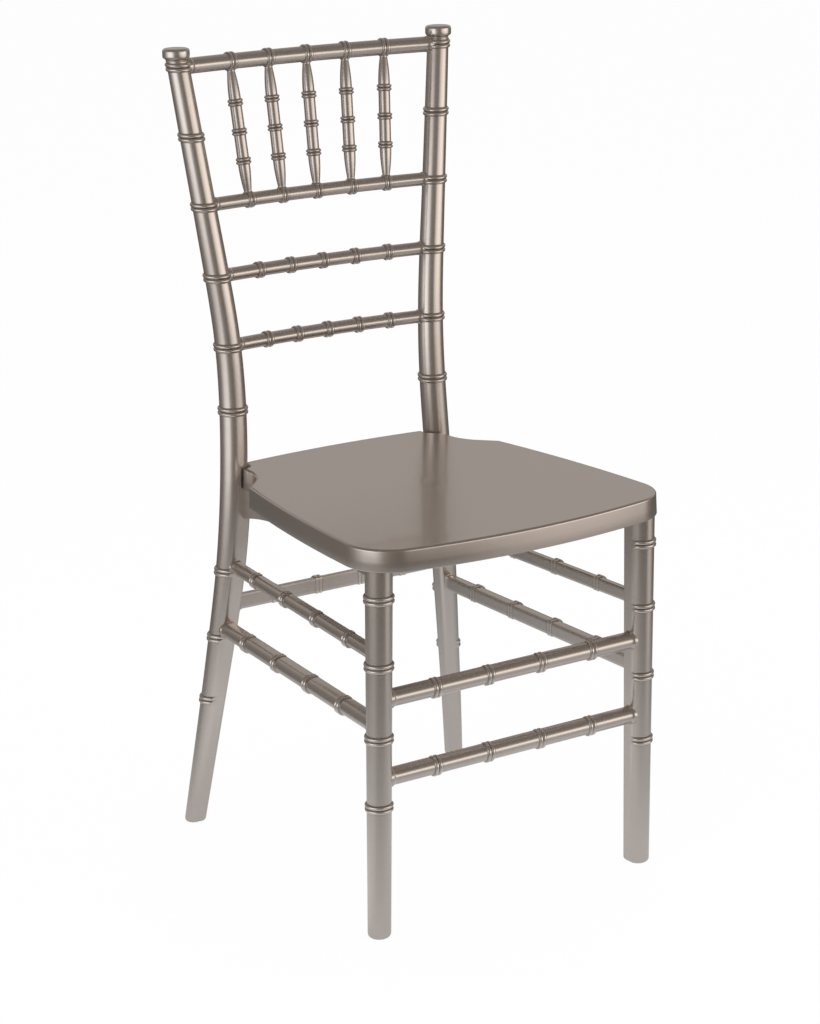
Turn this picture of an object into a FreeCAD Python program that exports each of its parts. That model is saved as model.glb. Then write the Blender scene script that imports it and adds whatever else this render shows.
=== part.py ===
import FreeCAD
import Part
import math
import os

# Ballroom side chair with turned members. Millimetres, Z up, the front faces -Y.
# The origin is on the floor, midway between the two sides and midway in depth.

V = FreeCAD.Vector
X_DIR = V(1, 0, 0)
Z_DIR = V(0, 0, 1)
os.makedirs("parts", exist_ok=True)

# Rear posts: floor to finial, splayed outward and backward above and below the seat.
# Each station is height, side position, depth position and radius of the round section.
POST_STATIONS = [
    (0.0, 188.6, 223.7, 11.3),
    (80.0, 178.9, 212.2, 12.2),
    (165.0, 168.2, 200.7, 13.2),
    (240.0, 158.9, 191.0, 14.3),
    (320.0, 149.6, 182.2, 15.2),
    (423.0, 141.3, 177.0, 15.8),
    (515.0, 137.2, 179.0, 15.6),
    (600.0, 139.0, 183.2, 14.9),
    (670.0, 145.6, 188.6, 14.4),
    (750.0, 154.8, 195.4, 13.7),
    (830.0, 164.0, 202.4, 13.2),
    (912.7, 173.4, 209.8, 12.6),
]
POST_TOP = 912.7
LEDGE_Z = 423.0
POST_RINGS_ABOVE = [513.7, 587.8, 668.3, 749.6, 828.3, 906.3]
POST_RINGS_BELOW = [161.5, 240.1, 322.0]

# Front legs: straight, leaning in a little toward the seat.
FRONT_FOOT = (176.2, -180.0, 12.9)
FRONT_TOP = (171.9, -189.7, 14.8)
FRONT_RINGS = [154.2, 232.6, 314.4, 389.6]
FRONT_TENON_R = 8.0
FRONT_TENON_H = 13.0

# Inner corner of a leg section, foot rounding and glides.
CORNER_R = 4.0
FOOT_ROUND = 5.0
GLIDE_R = 6.0
GLIDE_DEPTH = 5.0
GLIDE_PROUD = 0.8

# Twin half-round beads that stand for the joints of bamboo.
# The seam of a ring is turned away from the seam of the member it sits on, and the ring
# where the rear post begins to lean out has a wider collar.
BEAD_PROUD = 2.1
BEAD_H = 4.9
BEAD_H_SMALL = 3.8
COLLAR = 0.5
RING_SEAM = 40.0
BEND_RING = 587.8
BEND_COLLAR = 0.7

# Back rails: height, diameter and spacing of the rings from the middle.
BACK_RADIUS = 1050.0
TOP_RAIL = (906.0, 18.0, 51.2)
SPINDLE_RAIL = (750.0, 15.3, 46.4)
BACK_RAIL_UPPER = (668.8, 15.3, 43.7)
BACK_RAIL_LOWER = (588.0, 15.3, 41.7)

# Spindles.
SPINDLE_END_R = 4.45
SPINDLE_R = 6.8
SPINDLE_NECK = 6.5
SPINDLE_RINGS = [860.0, 827.3, 794.0]

# Stretchers: half-round outside, square inside.
# Each size is radius, how far the centre sits inward of the legs, and centre to inner face.
FRONT_STRETCHER = (9.8, 1.2, 4.0)
REAR_STRETCHER = (9.5, 4.0, 4.0)
SIDE_UPPER = (7.6, 1.8, 5.4)
SIDE_LOWER = (8.9, 0.5, 8.5)
FRONT_STRETCHER_Z = (274.7, 184.6)
REAR_STRETCHER_Z = 281.0
RIDGE_PROUD = 1.1
SIDE_RING_STEP = 76.2

# Joints: every rail sits in a housing and ends in a round tenon.
HOUSING = 5.0
TENON_R = 4.5
TENON_L = 6.0
FIT = 0.1

# Seat panel: a shell with a flat top, open below.
SEAT_TOP = 448.0
SEAT_UNDER = LEDGE_Z
SEAT_PLATE = 6.0
SEAT_WALL = 6.0
SEAT_FRONT_Y = -235.0
SEAT_FRONT_BOW = 6.3e-4
SEAT_REAR_Y = 190.5
SEAT_CORNER_R = 55.0
SEAT_POST_GAP = 18.4
SEAT_TOP_ROUND = 3.0

# Seat frame: boards under the seat, let into the flat faces of the legs.
RAIL_TOP = 441.8
RAIL_LOW_TOP = 422.9
RAIL_LET_IN = 3.0
SIDE_RAIL_LET_IN = 2.4
FRONT_RAIL = (-183.5, 11.0, 414.8)
REAR_RAIL = (170.5, 11.0, 403.0)
SIDE_RAIL_T = 9.5
SIDE_RAIL_BOTTOM = 404.0
SIDE_RAIL_FRONT_X = 163.5
SIDE_RAIL_REAR_X = 131.75
HAUNCH_BOTTOM = 385.5
FRONT_BLOCK_BOTTOM = 412.0
REAR_BLOCK_BOTTOM = 402.5
BLOCK_TOP = 422.7
BLOCK_SIZE = 60.0
BLOCK_SCREW_L = 28.0
SEAT_SCREW_TOP = 432.5
SCREW_R = 2.0
SCREW_HEAD_R = 4.2

# Finial: heights above the post's top and radii.
FINIAL_R = 15.3
FINIAL_H = 14.4
FINIAL_PEG_R = 5.0
FINIAL_PEG_L = 9.0


def save(name, shape):
    """Write one finished solid or group of solids."""
    if not shape.isValid():
        print("not valid:", name)
    print(name, len(shape.Solids), "solids", round(shape.Volume / 1000.0, 2), "cm3")
    shape.exportStep("parts/" + name + ".step")


def mirrored(shape):
    return shape.mirror(V(0, 0, 0), X_DIR)


def station_spline(column):
    """Natural cubic through the post stations, as second derivatives at each height."""
    z = [s[0] for s in POST_STATIONS]
    v = [s[column] for s in POST_STATIONS]
    n = len(z)
    low = [0.0] * n
    rhs = [0.0] * n
    for i in range(1, n - 1):
        h0 = z[i] - z[i - 1]
        h1 = z[i + 1] - z[i]
        bend = 6.0 * ((v[i + 1] - v[i]) / h1 - (v[i] - v[i - 1]) / h0)
        pivot = 2.0 * (h0 + h1) - h0 * low[i - 1]
        low[i] = h1 / pivot
        rhs[i] = (bend - h0 * rhs[i - 1]) / pivot
    second = [0.0] * n
    for i in range(n - 2, 0, -1):
        second[i] = rhs[i] - low[i] * second[i + 1]
    return z, v, second


SPLINES = {1: station_spline(1), 2: station_spline(2), 3: station_spline(3)}


def post_value(column, height):
    z, v, m = SPLINES[column]
    i = 0
    while i < len(z) - 2 and height > z[i + 1]:
        i += 1
    h = z[i + 1] - z[i]
    a = (z[i + 1] - height) / h
    b = (height - z[i]) / h
    curve = ((a ** 3 - a) * m[i] + (b ** 3 - b) * m[i + 1]) * h * h / 6.0
    return a * v[i] + b * v[i + 1] + curve


def post_at(height):
    """Centre of the right rear post and its radius at a height."""
    centre = V(post_value(1, height), post_value(2, height), height)
    return centre, post_value(3, height)


def front_leg_at(height):
    """Centre of the right front leg and its radius at a height."""
    t = height / LEDGE_Z
    x = FRONT_FOOT[0] + (FRONT_TOP[0] - FRONT_FOOT[0]) * t
    y = FRONT_FOOT[1] + (FRONT_TOP[1] - FRONT_FOOT[1]) * t
    r = FRONT_FOOT[2] + (FRONT_TOP[2] - FRONT_FOOT[2]) * t
    return V(x, y, height), r


def in_steps(heights):
    """Heights with two more between each pair far apart, so that a bent shaft stays smooth."""
    out = [heights[0]]
    for a, b in zip(heights, heights[1:]):
        count = 3 if b - a > 30 else 1
        out += [a + (b - a) * i / count for i in range(1, count + 1)]
    return out


def circle_wire(centre, r):
    return Part.Wire([Part.makeCircle(r, centre, Z_DIR)])


def leg_wire(centre, r, depth_sign):
    """Round outside, square inside: the corner points to -X and to depth_sign along Y."""
    c = CORNER_R
    k = math.sqrt(0.5)
    s = depth_sign

    def at(x, y):
        return centre + V(x, y, 0)

    p0 = at(-r, 0)
    p1 = at(-r, s * (r - c))
    p2 = at(-(r - c), s * r)
    p3 = at(0, s * r)
    bend = at(-(r - c) - c * k, s * (r - c) + s * c * k)
    side = Part.LineSegment(p0, p1).toShape()
    corner = Part.Arc(p1, bend, p2).toShape()
    face = Part.LineSegment(p2, p3).toShape()
    outer = Part.Arc(p3, at(r * k, -s * r * k), p0).toShape()
    return Part.Wire([side, corner, face, outer])


def twin_ring(centre, direction, r, height, proud=BEAD_PROUD, margin=1.0, collar=COLLAR):
    """Two half-round beads side by side on a thin collar, for a straight or leaning round member."""
    rim = r + collar
    reach = height + margin
    low = [V(0, 0, -reach), V(rim, 0, -reach), V(rim, 0, 0.1 - height), V(rim, 0, -0.1)]
    high = [V(p.x, 0, -p.z) for p in reversed(low)]
    edges = [
        Part.LineSegment(low[0], low[1]).toShape(),
        Part.LineSegment(low[1], low[2]).toShape(),
        Part.Arc(low[2], V(r + proud, 0, height / -2.0), low[3]).toShape(),
        Part.LineSegment(low[3], high[0]).toShape(),
        Part.Arc(high[0], V(r + proud, 0, height / 2.0), high[1]).toShape(),
        Part.LineSegment(high[1], high[2]).toShape(),
        Part.LineSegment(high[2], high[3]).toShape(),
        Part.LineSegment(high[3], low[0]).toShape(),
    ]
    ring = Part.Face(Part.Wire(edges)).revolve(V(0, 0, 0), Z_DIR, 360)
    turn = FreeCAD.Rotation(Z_DIR, direction).multiply(FreeCAD.Rotation(Z_DIR, RING_SEAM))
    ring.Placement = FreeCAD.Placement(centre, turn)
    return ring


def cylinder(start, direction, r, length):
    return Part.makeCylinder(r, length, start, direction)


def post_rings(heights, locate, depth_sign=None):
    """Twin rings on a leg; below the seat they stop short of its two flat faces."""
    out = []
    for z in heights:
        middle, r = locate(z)
        collar = BEND_COLLAR if z == BEND_RING else COLLAR
        ring = twin_ring(middle, Z_DIR, r, BEAD_H, BEAD_PROUD, 1.0, collar)
        if depth_sign is not None:
            near = r - 0.25
            size = near + r + 8
            y_low = middle.y - near if depth_sign < 0 else middle.y + near - size
            keep = Part.makeBox(size, size, 40, V(middle.x - near, y_low, z - 20))
            ring = ring.common(keep)
        out.append(ring)
    return out


def glide_hole(x, y):
    return Part.makeCylinder(GLIDE_R + FIT, GLIDE_DEPTH + 0.2, V(x, y, 0))


def foot_tool(centre, r):
    """What is left of a foot after its rim is rounded."""
    c = FOOT_ROUND
    k = math.sqrt(0.5)
    wide = r * 1.6
    pts = [V(0, 0, 0), V(r - c, 0, 0), V(r, 0, c), V(wide, 0, c + 22), V(0, 0, c + 22)]
    bend = V(r - c + c * k, 0, c - c * k)
    edges = [
        Part.LineSegment(pts[0], pts[1]).toShape(),
        Part.Arc(pts[1], bend, pts[2]).toShape(),
        Part.LineSegment(pts[2], pts[3]).toShape(),
        Part.LineSegment(pts[3], pts[4]).toShape(),
        Part.LineSegment(pts[4], pts[0]).toShape(),
    ]
    shape = Part.Face(Part.Wire(edges)).revolve(V(0, 0, 0), Z_DIR, 360)
    shape.translate(V(centre.x, centre.y, centre.z))
    return shape


def round_foot(leg, centre, r):
    """Round the rim of a foot and raise it clear of the floor for the glide."""
    low = Part.makeBox(80, 80, 25, V(centre.x - 40, centre.y - 40, -1))
    stub = leg.common(low).common(foot_tool(V(centre.x, centre.y, GLIDE_PROUD), r + 1.5))
    return leg.cut(low).fuse(stub).removeSplitter()


def rear_post_body():
    """One right-hand rear post, without its sockets."""
    low = []
    for z in in_steps([0.0] + POST_RINGS_BELOW + [LEDGE_Z]):
        centre, r = post_at(z)
        low.append(leg_wire(centre, r, -1))
    high = []
    for z in in_steps([LEDGE_Z] + POST_RINGS_ABOVE + [POST_TOP]):
        centre, r = post_at(z)
        high.append(circle_wire(centre, r))
    shaft = Part.makeLoft(low, True, True).fuse(Part.makeLoft(high, True, True))
    rings = post_rings(POST_RINGS_ABOVE, post_at) + post_rings(POST_RINGS_BELOW, post_at, -1)
    post = shaft.multiFuse(rings)
    foot, r = post_at(0)
    post = round_foot(post, foot, r)
    return post.cut(glide_hole(foot.x, foot.y))


def front_leg_body():
    """One right-hand front leg with its top tenon, without its sockets."""
    wires = []
    for z in (0.0, LEDGE_Z):
        centre, r = front_leg_at(z)
        wires.append(leg_wire(centre, r, 1))
    shaft = Part.makeLoft(wires, True, True)
    leg = shaft.multiFuse(post_rings(FRONT_RINGS, front_leg_at, 1))
    foot, r = front_leg_at(0)
    leg = round_foot(leg, foot, r)
    top, r = front_leg_at(LEDGE_Z)
    leg = leg.fuse(Part.makeCylinder(FRONT_TENON_R, FRONT_TENON_H, top))
    return leg.cut(glide_hole(foot.x, foot.y))


def bow(x):
    """How far a bowed member falls forward of its crown at a side position."""
    return BACK_RADIUS - math.sqrt(BACK_RADIUS ** 2 - x * x)


def rail_point(spec, x):
    """A point on the centre line of a bowed rail."""
    post, post_r = post_at(spec[0])
    return V(x, post.y + bow(post.x) - bow(x), spec[0])


def rail_way(x):
    """Direction of a bowed rail at a side position."""
    return V(math.sqrt(BACK_RADIUS ** 2 - x * x), -x, 0) / BACK_RADIUS


def rail_socket(spec):
    """The housing and the tenon hole for the right-hand end of a bowed rail."""
    post, post_r = post_at(spec[0])
    half = post.x - post_r + HOUSING + FIT * 2
    way = rail_way(half)
    end = rail_point(spec, half)
    housing = cylinder(end - way * 20.0, way, spec[1] / 2.0 + FIT, 20.0)
    return housing.fuse(cylinder(end - way, way, TENON_R + FIT, TENON_L + 1.0 + FIT * 4))


def back_rail(spec):
    """A round rail bowed backward between the two posts, with rings and end tenons."""
    z, diameter, spacing = spec
    r = diameter / 2.0
    post, post_r = post_at(z)
    half = post.x - post_r + HOUSING
    start = rail_point(spec, -half)
    centre = rail_point(spec, 0) - V(0, BACK_RADIUS, 0)
    turn = 2 * math.degrees(math.asin(half / BACK_RADIUS))
    section = Part.Face(Part.Wire([Part.makeCircle(r, start, rail_way(-half))]))
    rail = section.revolve(centre, Z_DIR * -1, turn)
    extra = []
    for side in (-1, 1):
        way = rail_way(half * side) * side
        begin = rail_point(spec, half * side) - way * 1.0
        extra.append(cylinder(begin, way, TENON_R, TENON_L + 1.0))
    for i in range(-2, 3):
        x = i * spacing
        extra.append(twin_ring(rail_point(spec, x), rail_way(x), r, BEAD_H))
    return rail.multiFuse(extra)


def spindle_axis(i):
    """Both ends of a spindle's axis, 4.5 mm short of the centres of its two rails."""
    top = rail_point(TOP_RAIL, i * TOP_RAIL[2])
    low = rail_point(SPINDLE_RAIL, i * SPINDLE_RAIL[2])
    way = top - low
    way.normalize()
    return low + way * 3.5, top - way * 4.5, way


def spindle(i):
    """A slim turned spindle with three twin beads and ends that swell like a vase."""
    low, top, way = spindle_axis(i)
    length = (top - low).Length
    scale = length / (top.z - low.z)
    marks = [(z - low.z) * scale for z in sorted(SPINDLE_RINGS)]
    swell = SPINDLE_END_R + 0.7 * (SPINDLE_R - SPINDLE_END_R)
    first = marks[0] - 5.5
    last = marks[2] + 5.5
    a = V(SPINDLE_END_R, 0, SPINDLE_NECK)
    b = V(SPINDLE_R, 0, first)
    c = V(SPINDLE_R, 0, last)
    d = V(SPINDLE_END_R, 0, length - SPINDLE_NECK)
    edges = [
        Part.LineSegment(V(0, 0, 0), V(SPINDLE_END_R, 0, 0)).toShape(),
        Part.LineSegment(V(SPINDLE_END_R, 0, 0), a).toShape(),
        Part.Arc(a, V(swell, 0, (a.z + b.z) / 2.0), b).toShape(),
        Part.LineSegment(b, c).toShape(),
        Part.Arc(c, V(swell, 0, (c.z + d.z) / 2.0), d).toShape(),
        Part.LineSegment(d, V(SPINDLE_END_R, 0, length)).toShape(),
        Part.LineSegment(V(SPINDLE_END_R, 0, length), V(0, 0, length)).toShape(),
        Part.LineSegment(V(0, 0, length), V(0, 0, 0)).toShape(),
    ]
    body = Part.Face(Part.Wire(edges)).revolve(V(0, 0, 0), Z_DIR, 360)
    rings = [twin_ring(V(0, 0, m), Z_DIR, SPINDLE_R, BEAD_H_SMALL, 2.0, 0.8) for m in marks]
    turned = body.multiFuse(rings)
    turned.Placement = FreeCAD.Placement(low, FreeCAD.Rotation(Z_DIR, way))
    return turned


def spindle_sockets(ends):
    """Holes for the five spindles in the rail above or below them."""
    holes = []
    for i in range(-2, 3):
        low, top, way = spindle_axis(i)
        if ends == "top":
            holes.append(cylinder(top - way * 8.0, way, SPINDLE_END_R + FIT, 8.2))
        else:
            holes.append(cylinder(low + way * 8.0, way * -1, SPINDLE_END_R + FIT, 8.2))
    return holes


def ridge(reach, half_height):
    """Twin low ridges over the square part of a stretcher, as an outline seen from inside."""
    h = BEAD_H
    edges = []
    for side in (1, -1):
        top = side * half_height
        crest = side * (half_height + RIDGE_PROUD)
        for low in (-h, 0):
            a = V(side * low, top, 0)
            b = V(side * (low + h / 2.0), crest, 0)
            c = V(side * (low + h), top, 0)
            edges.append(Part.Arc(a, b, c).toShape())
    edges.append(Part.LineSegment(V(h, half_height, 0), V(h, -half_height, 0)).toShape())
    edges.append(Part.LineSegment(V(-h, half_height, 0), V(-h, -half_height, 0)).toShape())
    outline = Part.Wire(Part.sortEdges(edges)[0])
    return Part.Face(outline).extrude(V(0, 0, reach))


def stretcher(start, end, inward, size, marks, grow=0.0):
    """A stretcher from start to end: half-round outside, square on its inward side."""
    way = end - start
    length = way.Length
    way.normalize()
    up = way.cross(inward)
    if up.z < 0:
        up = up * -1
    k = math.sqrt(0.5)
    c = 1.5
    d = size[2] + grow
    r = size[0] + grow
    first = start - way * grow * 2

    def at(a, b):
        return first + inward * a + up * b

    edges = [
        Part.Arc(at(0, r), at(-r, 0), at(0, -r)).toShape(),
        Part.LineSegment(at(0, -r), at(d - c, -r)).toShape(),
        Part.Arc(at(d - c, -r), at(d - c + c * k, -r + c - c * k), at(d, -r + c)).toShape(),
        Part.LineSegment(at(d, -r + c), at(d, r - c)).toShape(),
        Part.Arc(at(d, r - c), at(d - c + c * k, r - c + c * k), at(d - c, r)).toShape(),
        Part.LineSegment(at(d - c, r), at(0, r)).toShape(),
    ]
    bar = Part.Face(Part.Wire(edges)).extrude(way * (length + grow * 4))
    extra = []
    if grow == 0.0:
        turn = FreeCAD.Rotation(way, up, inward, "ZYX")
        for m in marks:
            spot = start + way * m
            waste = Part.makeBox(60, 60, 40, V(-30, -30, 0.2))
            waste.Placement = FreeCAD.Placement(spot, turn)
            square = ridge(size[2] - 0.1, size[0])
            square.Placement = FreeCAD.Placement(spot, turn)
            extra.append(twin_ring(spot, way, r, BEAD_H).cut(waste))
            extra.append(square)
    for spot, out in ((start, way * -1), (end, way)):
        base = spot - out * 1.0
        extra.append(cylinder(base, out, TENON_R + grow, TENON_L + 1.0 + grow * 4))
    return bar.multiFuse(extra)


def front_stretcher(z, grow=0.0):
    leg, r = front_leg_at(z)
    half = leg.x - r + HOUSING
    y = leg.y + FRONT_STRETCHER[1]
    marks = [half + x for x in (-103.2, -34.4, 34.4, 103.2)]
    return stretcher(V(-half, y, z), V(half, y, z), V(0, 1, 0), FRONT_STRETCHER, marks, grow)


def rear_stretcher(grow=0.0):
    post, r = post_at(REAR_STRETCHER_Z)
    half = post.x - r + HOUSING
    y = post.y - REAR_STRETCHER[1]
    marks = [half + x for x in (-89.3, -29.8, 29.8, 89.3)]
    start = V(-half, y, REAR_STRETCHER_Z)
    end = V(half, y, REAR_STRETCHER_Z)
    return stretcher(start, end, V(0, -1, 0), REAR_STRETCHER, marks, grow)


def side_stretcher(front_z, rear_z, size, first_ring, grow=0.0):
    """A right-hand stretcher that rises a little toward the rear post."""
    leg, leg_r = front_leg_at(front_z)
    post, post_r = post_at(rear_z)
    a = leg - V(size[1], 0, 0)
    b = post - V(size[1], 0, 0)
    way = b - a
    way.normalize()
    start = a + way * (leg_r - HOUSING)
    end = b - way * (post_r - HOUSING)
    inward = V(-way.y, way.x, 0)
    inward.normalize()
    marks = [(first_ring + i * SIDE_RING_STEP - start.y) / way.y for i in range(4)]
    return stretcher(start, end, inward, size, marks, grow)


def seat_outline():
    """The seat seen from above, as one closed wire at the height of its underside."""
    z = SEAT_UNDER
    post, post_r = post_at(z + 12)
    gap = SEAT_POST_GAP

    def front(x):
        return V(x, SEAT_FRONT_Y + SEAT_FRONT_BOW * x * x, z)

    def rear(x):
        return V(x, SEAT_REAR_Y - bow(x), z)

    inner_x = post.x - gap
    p_rear = rear(inner_x)
    p_in = V(inner_x, post.y, z)
    p_bend = V(post.x - gap * math.sqrt(0.5), post.y - gap * math.sqrt(0.5), z)
    p_front = V(post.x - 2.2, post.y - math.sqrt(gap ** 2 - 2.2 ** 2), z)
    p_wall = V(post.x - 2.2, 146.0, z)
    p_scoop = V(141.9, 124.5, z)
    p_out = V(151.5, 107.8, z)
    p_side = V(171.6, 86.4, z)
    p_mid = V(188.6, -39.0, z)
    p_corner = front(197.6)
    half = [
        Part.LineSegment(p_rear, p_in).toShape(),
        Part.Arc(p_in, p_bend, p_front).toShape(),
        Part.LineSegment(p_front, p_wall).toShape(),
        Part.Arc(p_wall, p_scoop, p_out).toShape(),
        Part.LineSegment(p_out, p_side).toShape(),
        Part.Arc(p_side, p_mid, p_corner).toShape(),
    ]
    rear_edge = Part.Arc(rear(-inner_x), rear(0), p_rear).toShape()
    front_edge = Part.Arc(front(-197.6), front(0), p_corner).toShape()
    other = [mirrored(e) for e in half]
    wires = Part.sortEdges(half + other + [rear_edge, front_edge])[0]
    return Part.Wire(wires)


def upright_edges(shape, test):
    """Vertical edges whose position passes a test."""
    found = []
    for e in shape.Edges:
        if len(e.Vertexes) != 2:
            continue
        a = e.Vertexes[0].Point
        b = e.Vertexes[1].Point
        if math.hypot(a.x - b.x, a.y - b.y) < 1e-6 and test(a):
            found.append(e)
    return found


def screw_places():
    """Seat screw positions: one through each corner block."""
    return [(124.0, -168.0), (-124.0, -168.0), (96.0, 152.0), (-96.0, 152.0)]


def seat_panel():
    """The moulded seat: flat top, skirt all round, solid front corners for the legs."""
    outline = seat_outline()
    slab = Part.Face(outline).extrude(V(0, 0, SEAT_TOP - SEAT_UNDER))
    slab = slab.makeFillet(SEAT_CORNER_R, upright_edges(slab, lambda p: p.y < -200))
    slab = slab.makeFillet(5.0, upright_edges(slab, lambda p: 80 < p.y < 90))
    inner = Part.Face(outline.makeOffset2D(-SEAT_WALL))
    pocket = inner.extrude(V(0, 0, SEAT_TOP - SEAT_UNDER - SEAT_PLATE))
    for side in (-1, 1):
        x = 145.0 if side > 0 else -205.0
        pocket = pocket.cut(Part.makeBox(60, 72, 60, V(x, -240, SEAT_UNDER - 5)))
    for x, y in screw_places():
        pocket = pocket.cut(Part.makeCylinder(6.0, 60, V(x, y, SEAT_UNDER - 5)))
    rim = []
    for e in slab.Edges:
        if all(abs(v.Point.z - SEAT_TOP) < 1e-6 for v in e.Vertexes):
            rim.append(e)
    slab = slab.makeFillet(SEAT_TOP_ROUND, rim)
    seat = slab.cut(pocket)
    top, r = front_leg_at(LEDGE_Z)
    for side in (-1, 1):
        hole = Part.makeCylinder(FRONT_TENON_R + FIT, FRONT_TENON_H + 0.3, V(side * top.x, top.y, SEAT_UNDER))
        seat = seat.cut(hole)
    for x, y in screw_places():
        seat = seat.cut(Part.makeCylinder(SCREW_R + FIT, 15.0, V(x, y, SEAT_UNDER - 1)))
    return seat


def beam(start, end, thick, low, high):
    """An upright board between two plan points."""
    way = V(end.x - start.x, end.y - start.y, 0)
    side = V(-way.y, way.x, 0)
    side.normalize()
    a = V(start.x, start.y, low) + side * (thick / 2.0)
    b = V(end.x, end.y, low) + side * (thick / 2.0)
    c = V(end.x, end.y, low) - side * (thick / 2.0)
    d = V(start.x, start.y, low) - side * (thick / 2.0)
    return Part.Face(Part.makePolygon([a, b, c, d, a])).extrude(V(0, 0, high - low))


def haunch(end, way, thick, reach):
    """The deep rear end of a side board, with a hollow-curved lower edge."""
    side = V(-way.y, way.x, 0)
    a = V(end.x, end.y, SIDE_RAIL_BOTTOM + 2)
    b = a + way * reach
    c = b - V(0, 0, 2)
    mid = V(end.x, end.y, HAUNCH_BOTTOM + 6.8) + way * 26.0
    low = V(end.x, end.y, HAUNCH_BOTTOM)
    edges = [
        Part.LineSegment(a, b).toShape(),
        Part.LineSegment(b, c).toShape(),
        Part.Arc(c, mid, low).toShape(),
        Part.LineSegment(low, a).toShape(),
    ]
    web = Part.Face(Part.Wire(edges))
    web.translate(side * (thick / -2.0))
    return web.extrude(side * thick)


def block_screws():
    """Head position and direction of the eight screws that hold the corner blocks."""
    out = []
    for side in (-1, 1):
        out.append((V(side * 130.0, -157.0, 417.8), V(0, -1, 0)))
        out.append((V(side * 134.5, -151.0, 417.8), V(side, 0.094, 0)))
        out.append((V(side * 104.0, 144.0, 418.3), V(0, 1, 0)))
        out.append((V(side * 104.0, 144.0, 408.6), V(side, 0.094, 0)))
    return out


def front_rail():
    y, thick, bottom = FRONT_RAIL
    leg, r = front_leg_at(417.0)
    half = leg.x - r + RAIL_LET_IN
    low = beam(V(-half, y, 0), V(half, y, 0), thick, bottom, RAIL_LOW_TOP)
    web = beam(V(-144, y, 0), V(144, y, 0), thick, bottom, RAIL_TOP)
    return low.fuse(web).removeSplitter()


def rear_rail():
    y, thick, bottom = REAR_RAIL
    post, r = post_at(412.0)
    half = post.x - r + RAIL_LET_IN
    low = beam(V(-half, y, 0), V(half, y, 0), thick, bottom, RAIL_LOW_TOP)
    web = beam(V(-98, y, 0), V(98, y, 0), thick, bottom, RAIL_TOP)
    return low.fuse(web).removeSplitter()


def side_rail():
    """Right-hand seat rail, deepened where it meets the rear post."""
    leg, leg_r = front_leg_at(417.0)
    post, post_r = post_at(405.0)
    start = V(SIDE_RAIL_FRONT_X, leg.y + leg_r - SIDE_RAIL_LET_IN, 0)
    end = V(SIDE_RAIL_REAR_X, post.y - post_r + RAIL_LET_IN, 0)
    way = end - start
    way.normalize()
    low = beam(start, end, SIDE_RAIL_T, SIDE_RAIL_BOTTOM, RAIL_LOW_TOP)
    web = beam(start + way * 14.0, end - way * 90.0, SIDE_RAIL_T, SIDE_RAIL_BOTTOM, RAIL_TOP)
    deep = haunch(end, way * -1, SIDE_RAIL_T, 110.0)
    return low.multiFuse([web, deep]).removeSplitter()


def corner_block(corner, y_dir, cut_off, bottom):
    """A block in the angle between two boards; the tip toward the leg is cut off."""
    size = BLOCK_SIZE
    plan = [(cut_off, 0), (size, 0), (size, 8), (8, size), (0, size), (0, cut_off)]
    pts = [V(corner[0] - a, corner[1] + y_dir * b, bottom) for a, b in plan]
    face = Part.Face(Part.makePolygon(pts + [pts[0]]))
    return face.extrude(V(0, 0, BLOCK_TOP - bottom))


def wood_screw(start, way, length):
    """A countersunk screw with a cross recess; start is the top of its head."""
    head = Part.makeCone(SCREW_HEAD_R, SCREW_R, 2.6)
    shank = Part.makeCylinder(SCREW_R, length - 5.0)
    tip = Part.makeCone(SCREW_R, 0.4, 5.0, V(0, 0, length - 5.0))
    screw = head.multiFuse([shank, tip])
    for size in ((4.4, 0.9), (0.9, 4.4)):
        slot = Part.makeBox(size[0], size[1], 1.4, V(-size[0] / 2, -size[1] / 2, -0.1))
        screw = screw.cut(slot)
    screw.Placement = FreeCAD.Placement(start, FreeCAD.Rotation(Z_DIR, way))
    return screw


def screw_hole(start, way, length):
    head = Part.makeCone(SCREW_HEAD_R + FIT, SCREW_R + FIT, 2.6)
    lead = Part.makeCylinder(SCREW_HEAD_R + FIT, 30.0, V(0, 0, -30.0))
    shank = Part.makeCylinder(SCREW_R + FIT, length + 0.5)
    hole = head.multiFuse([lead, shank])
    hole.Placement = FreeCAD.Placement(start, FreeCAD.Rotation(Z_DIR, way))
    return hole


def finial():
    """The knob on top of a rear post, with a peg below."""
    seat, r = post_at(POST_TOP)
    top, unused = post_at(POST_TOP + FINIAL_H / 2.0)
    pts = [
        V(0, 0, -FINIAL_PEG_L),
        V(FINIAL_PEG_R, 0, -FINIAL_PEG_L),
        V(FINIAL_PEG_R, 0, 0),
        V(r - 0.3, 0, 0),
        V(FINIAL_R - 0.4, 0, 3.4),
        V(FINIAL_R, 0, 4.6),
        V(FINIAL_R, 0, FINIAL_H - 1.8),
        V(FINIAL_R - 0.7, 0, FINIAL_H - 0.7),
        V(FINIAL_R - 2.2, 0, FINIAL_H - 0.3),
        V(0, 0, FINIAL_H),
        V(0, 0, -FINIAL_PEG_L),
    ]
    knob = Part.Face(Part.makePolygon(pts)).revolve(V(0, 0, 0), Z_DIR, 360)
    knob.translate(V(top.x, top.y, POST_TOP))
    return knob


def glide(x, y):
    plug = Part.makeCylinder(GLIDE_R, GLIDE_DEPTH, V(x, y, 0))
    return plug.makeFillet(0.6, [plug.Edges[2]])


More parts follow.
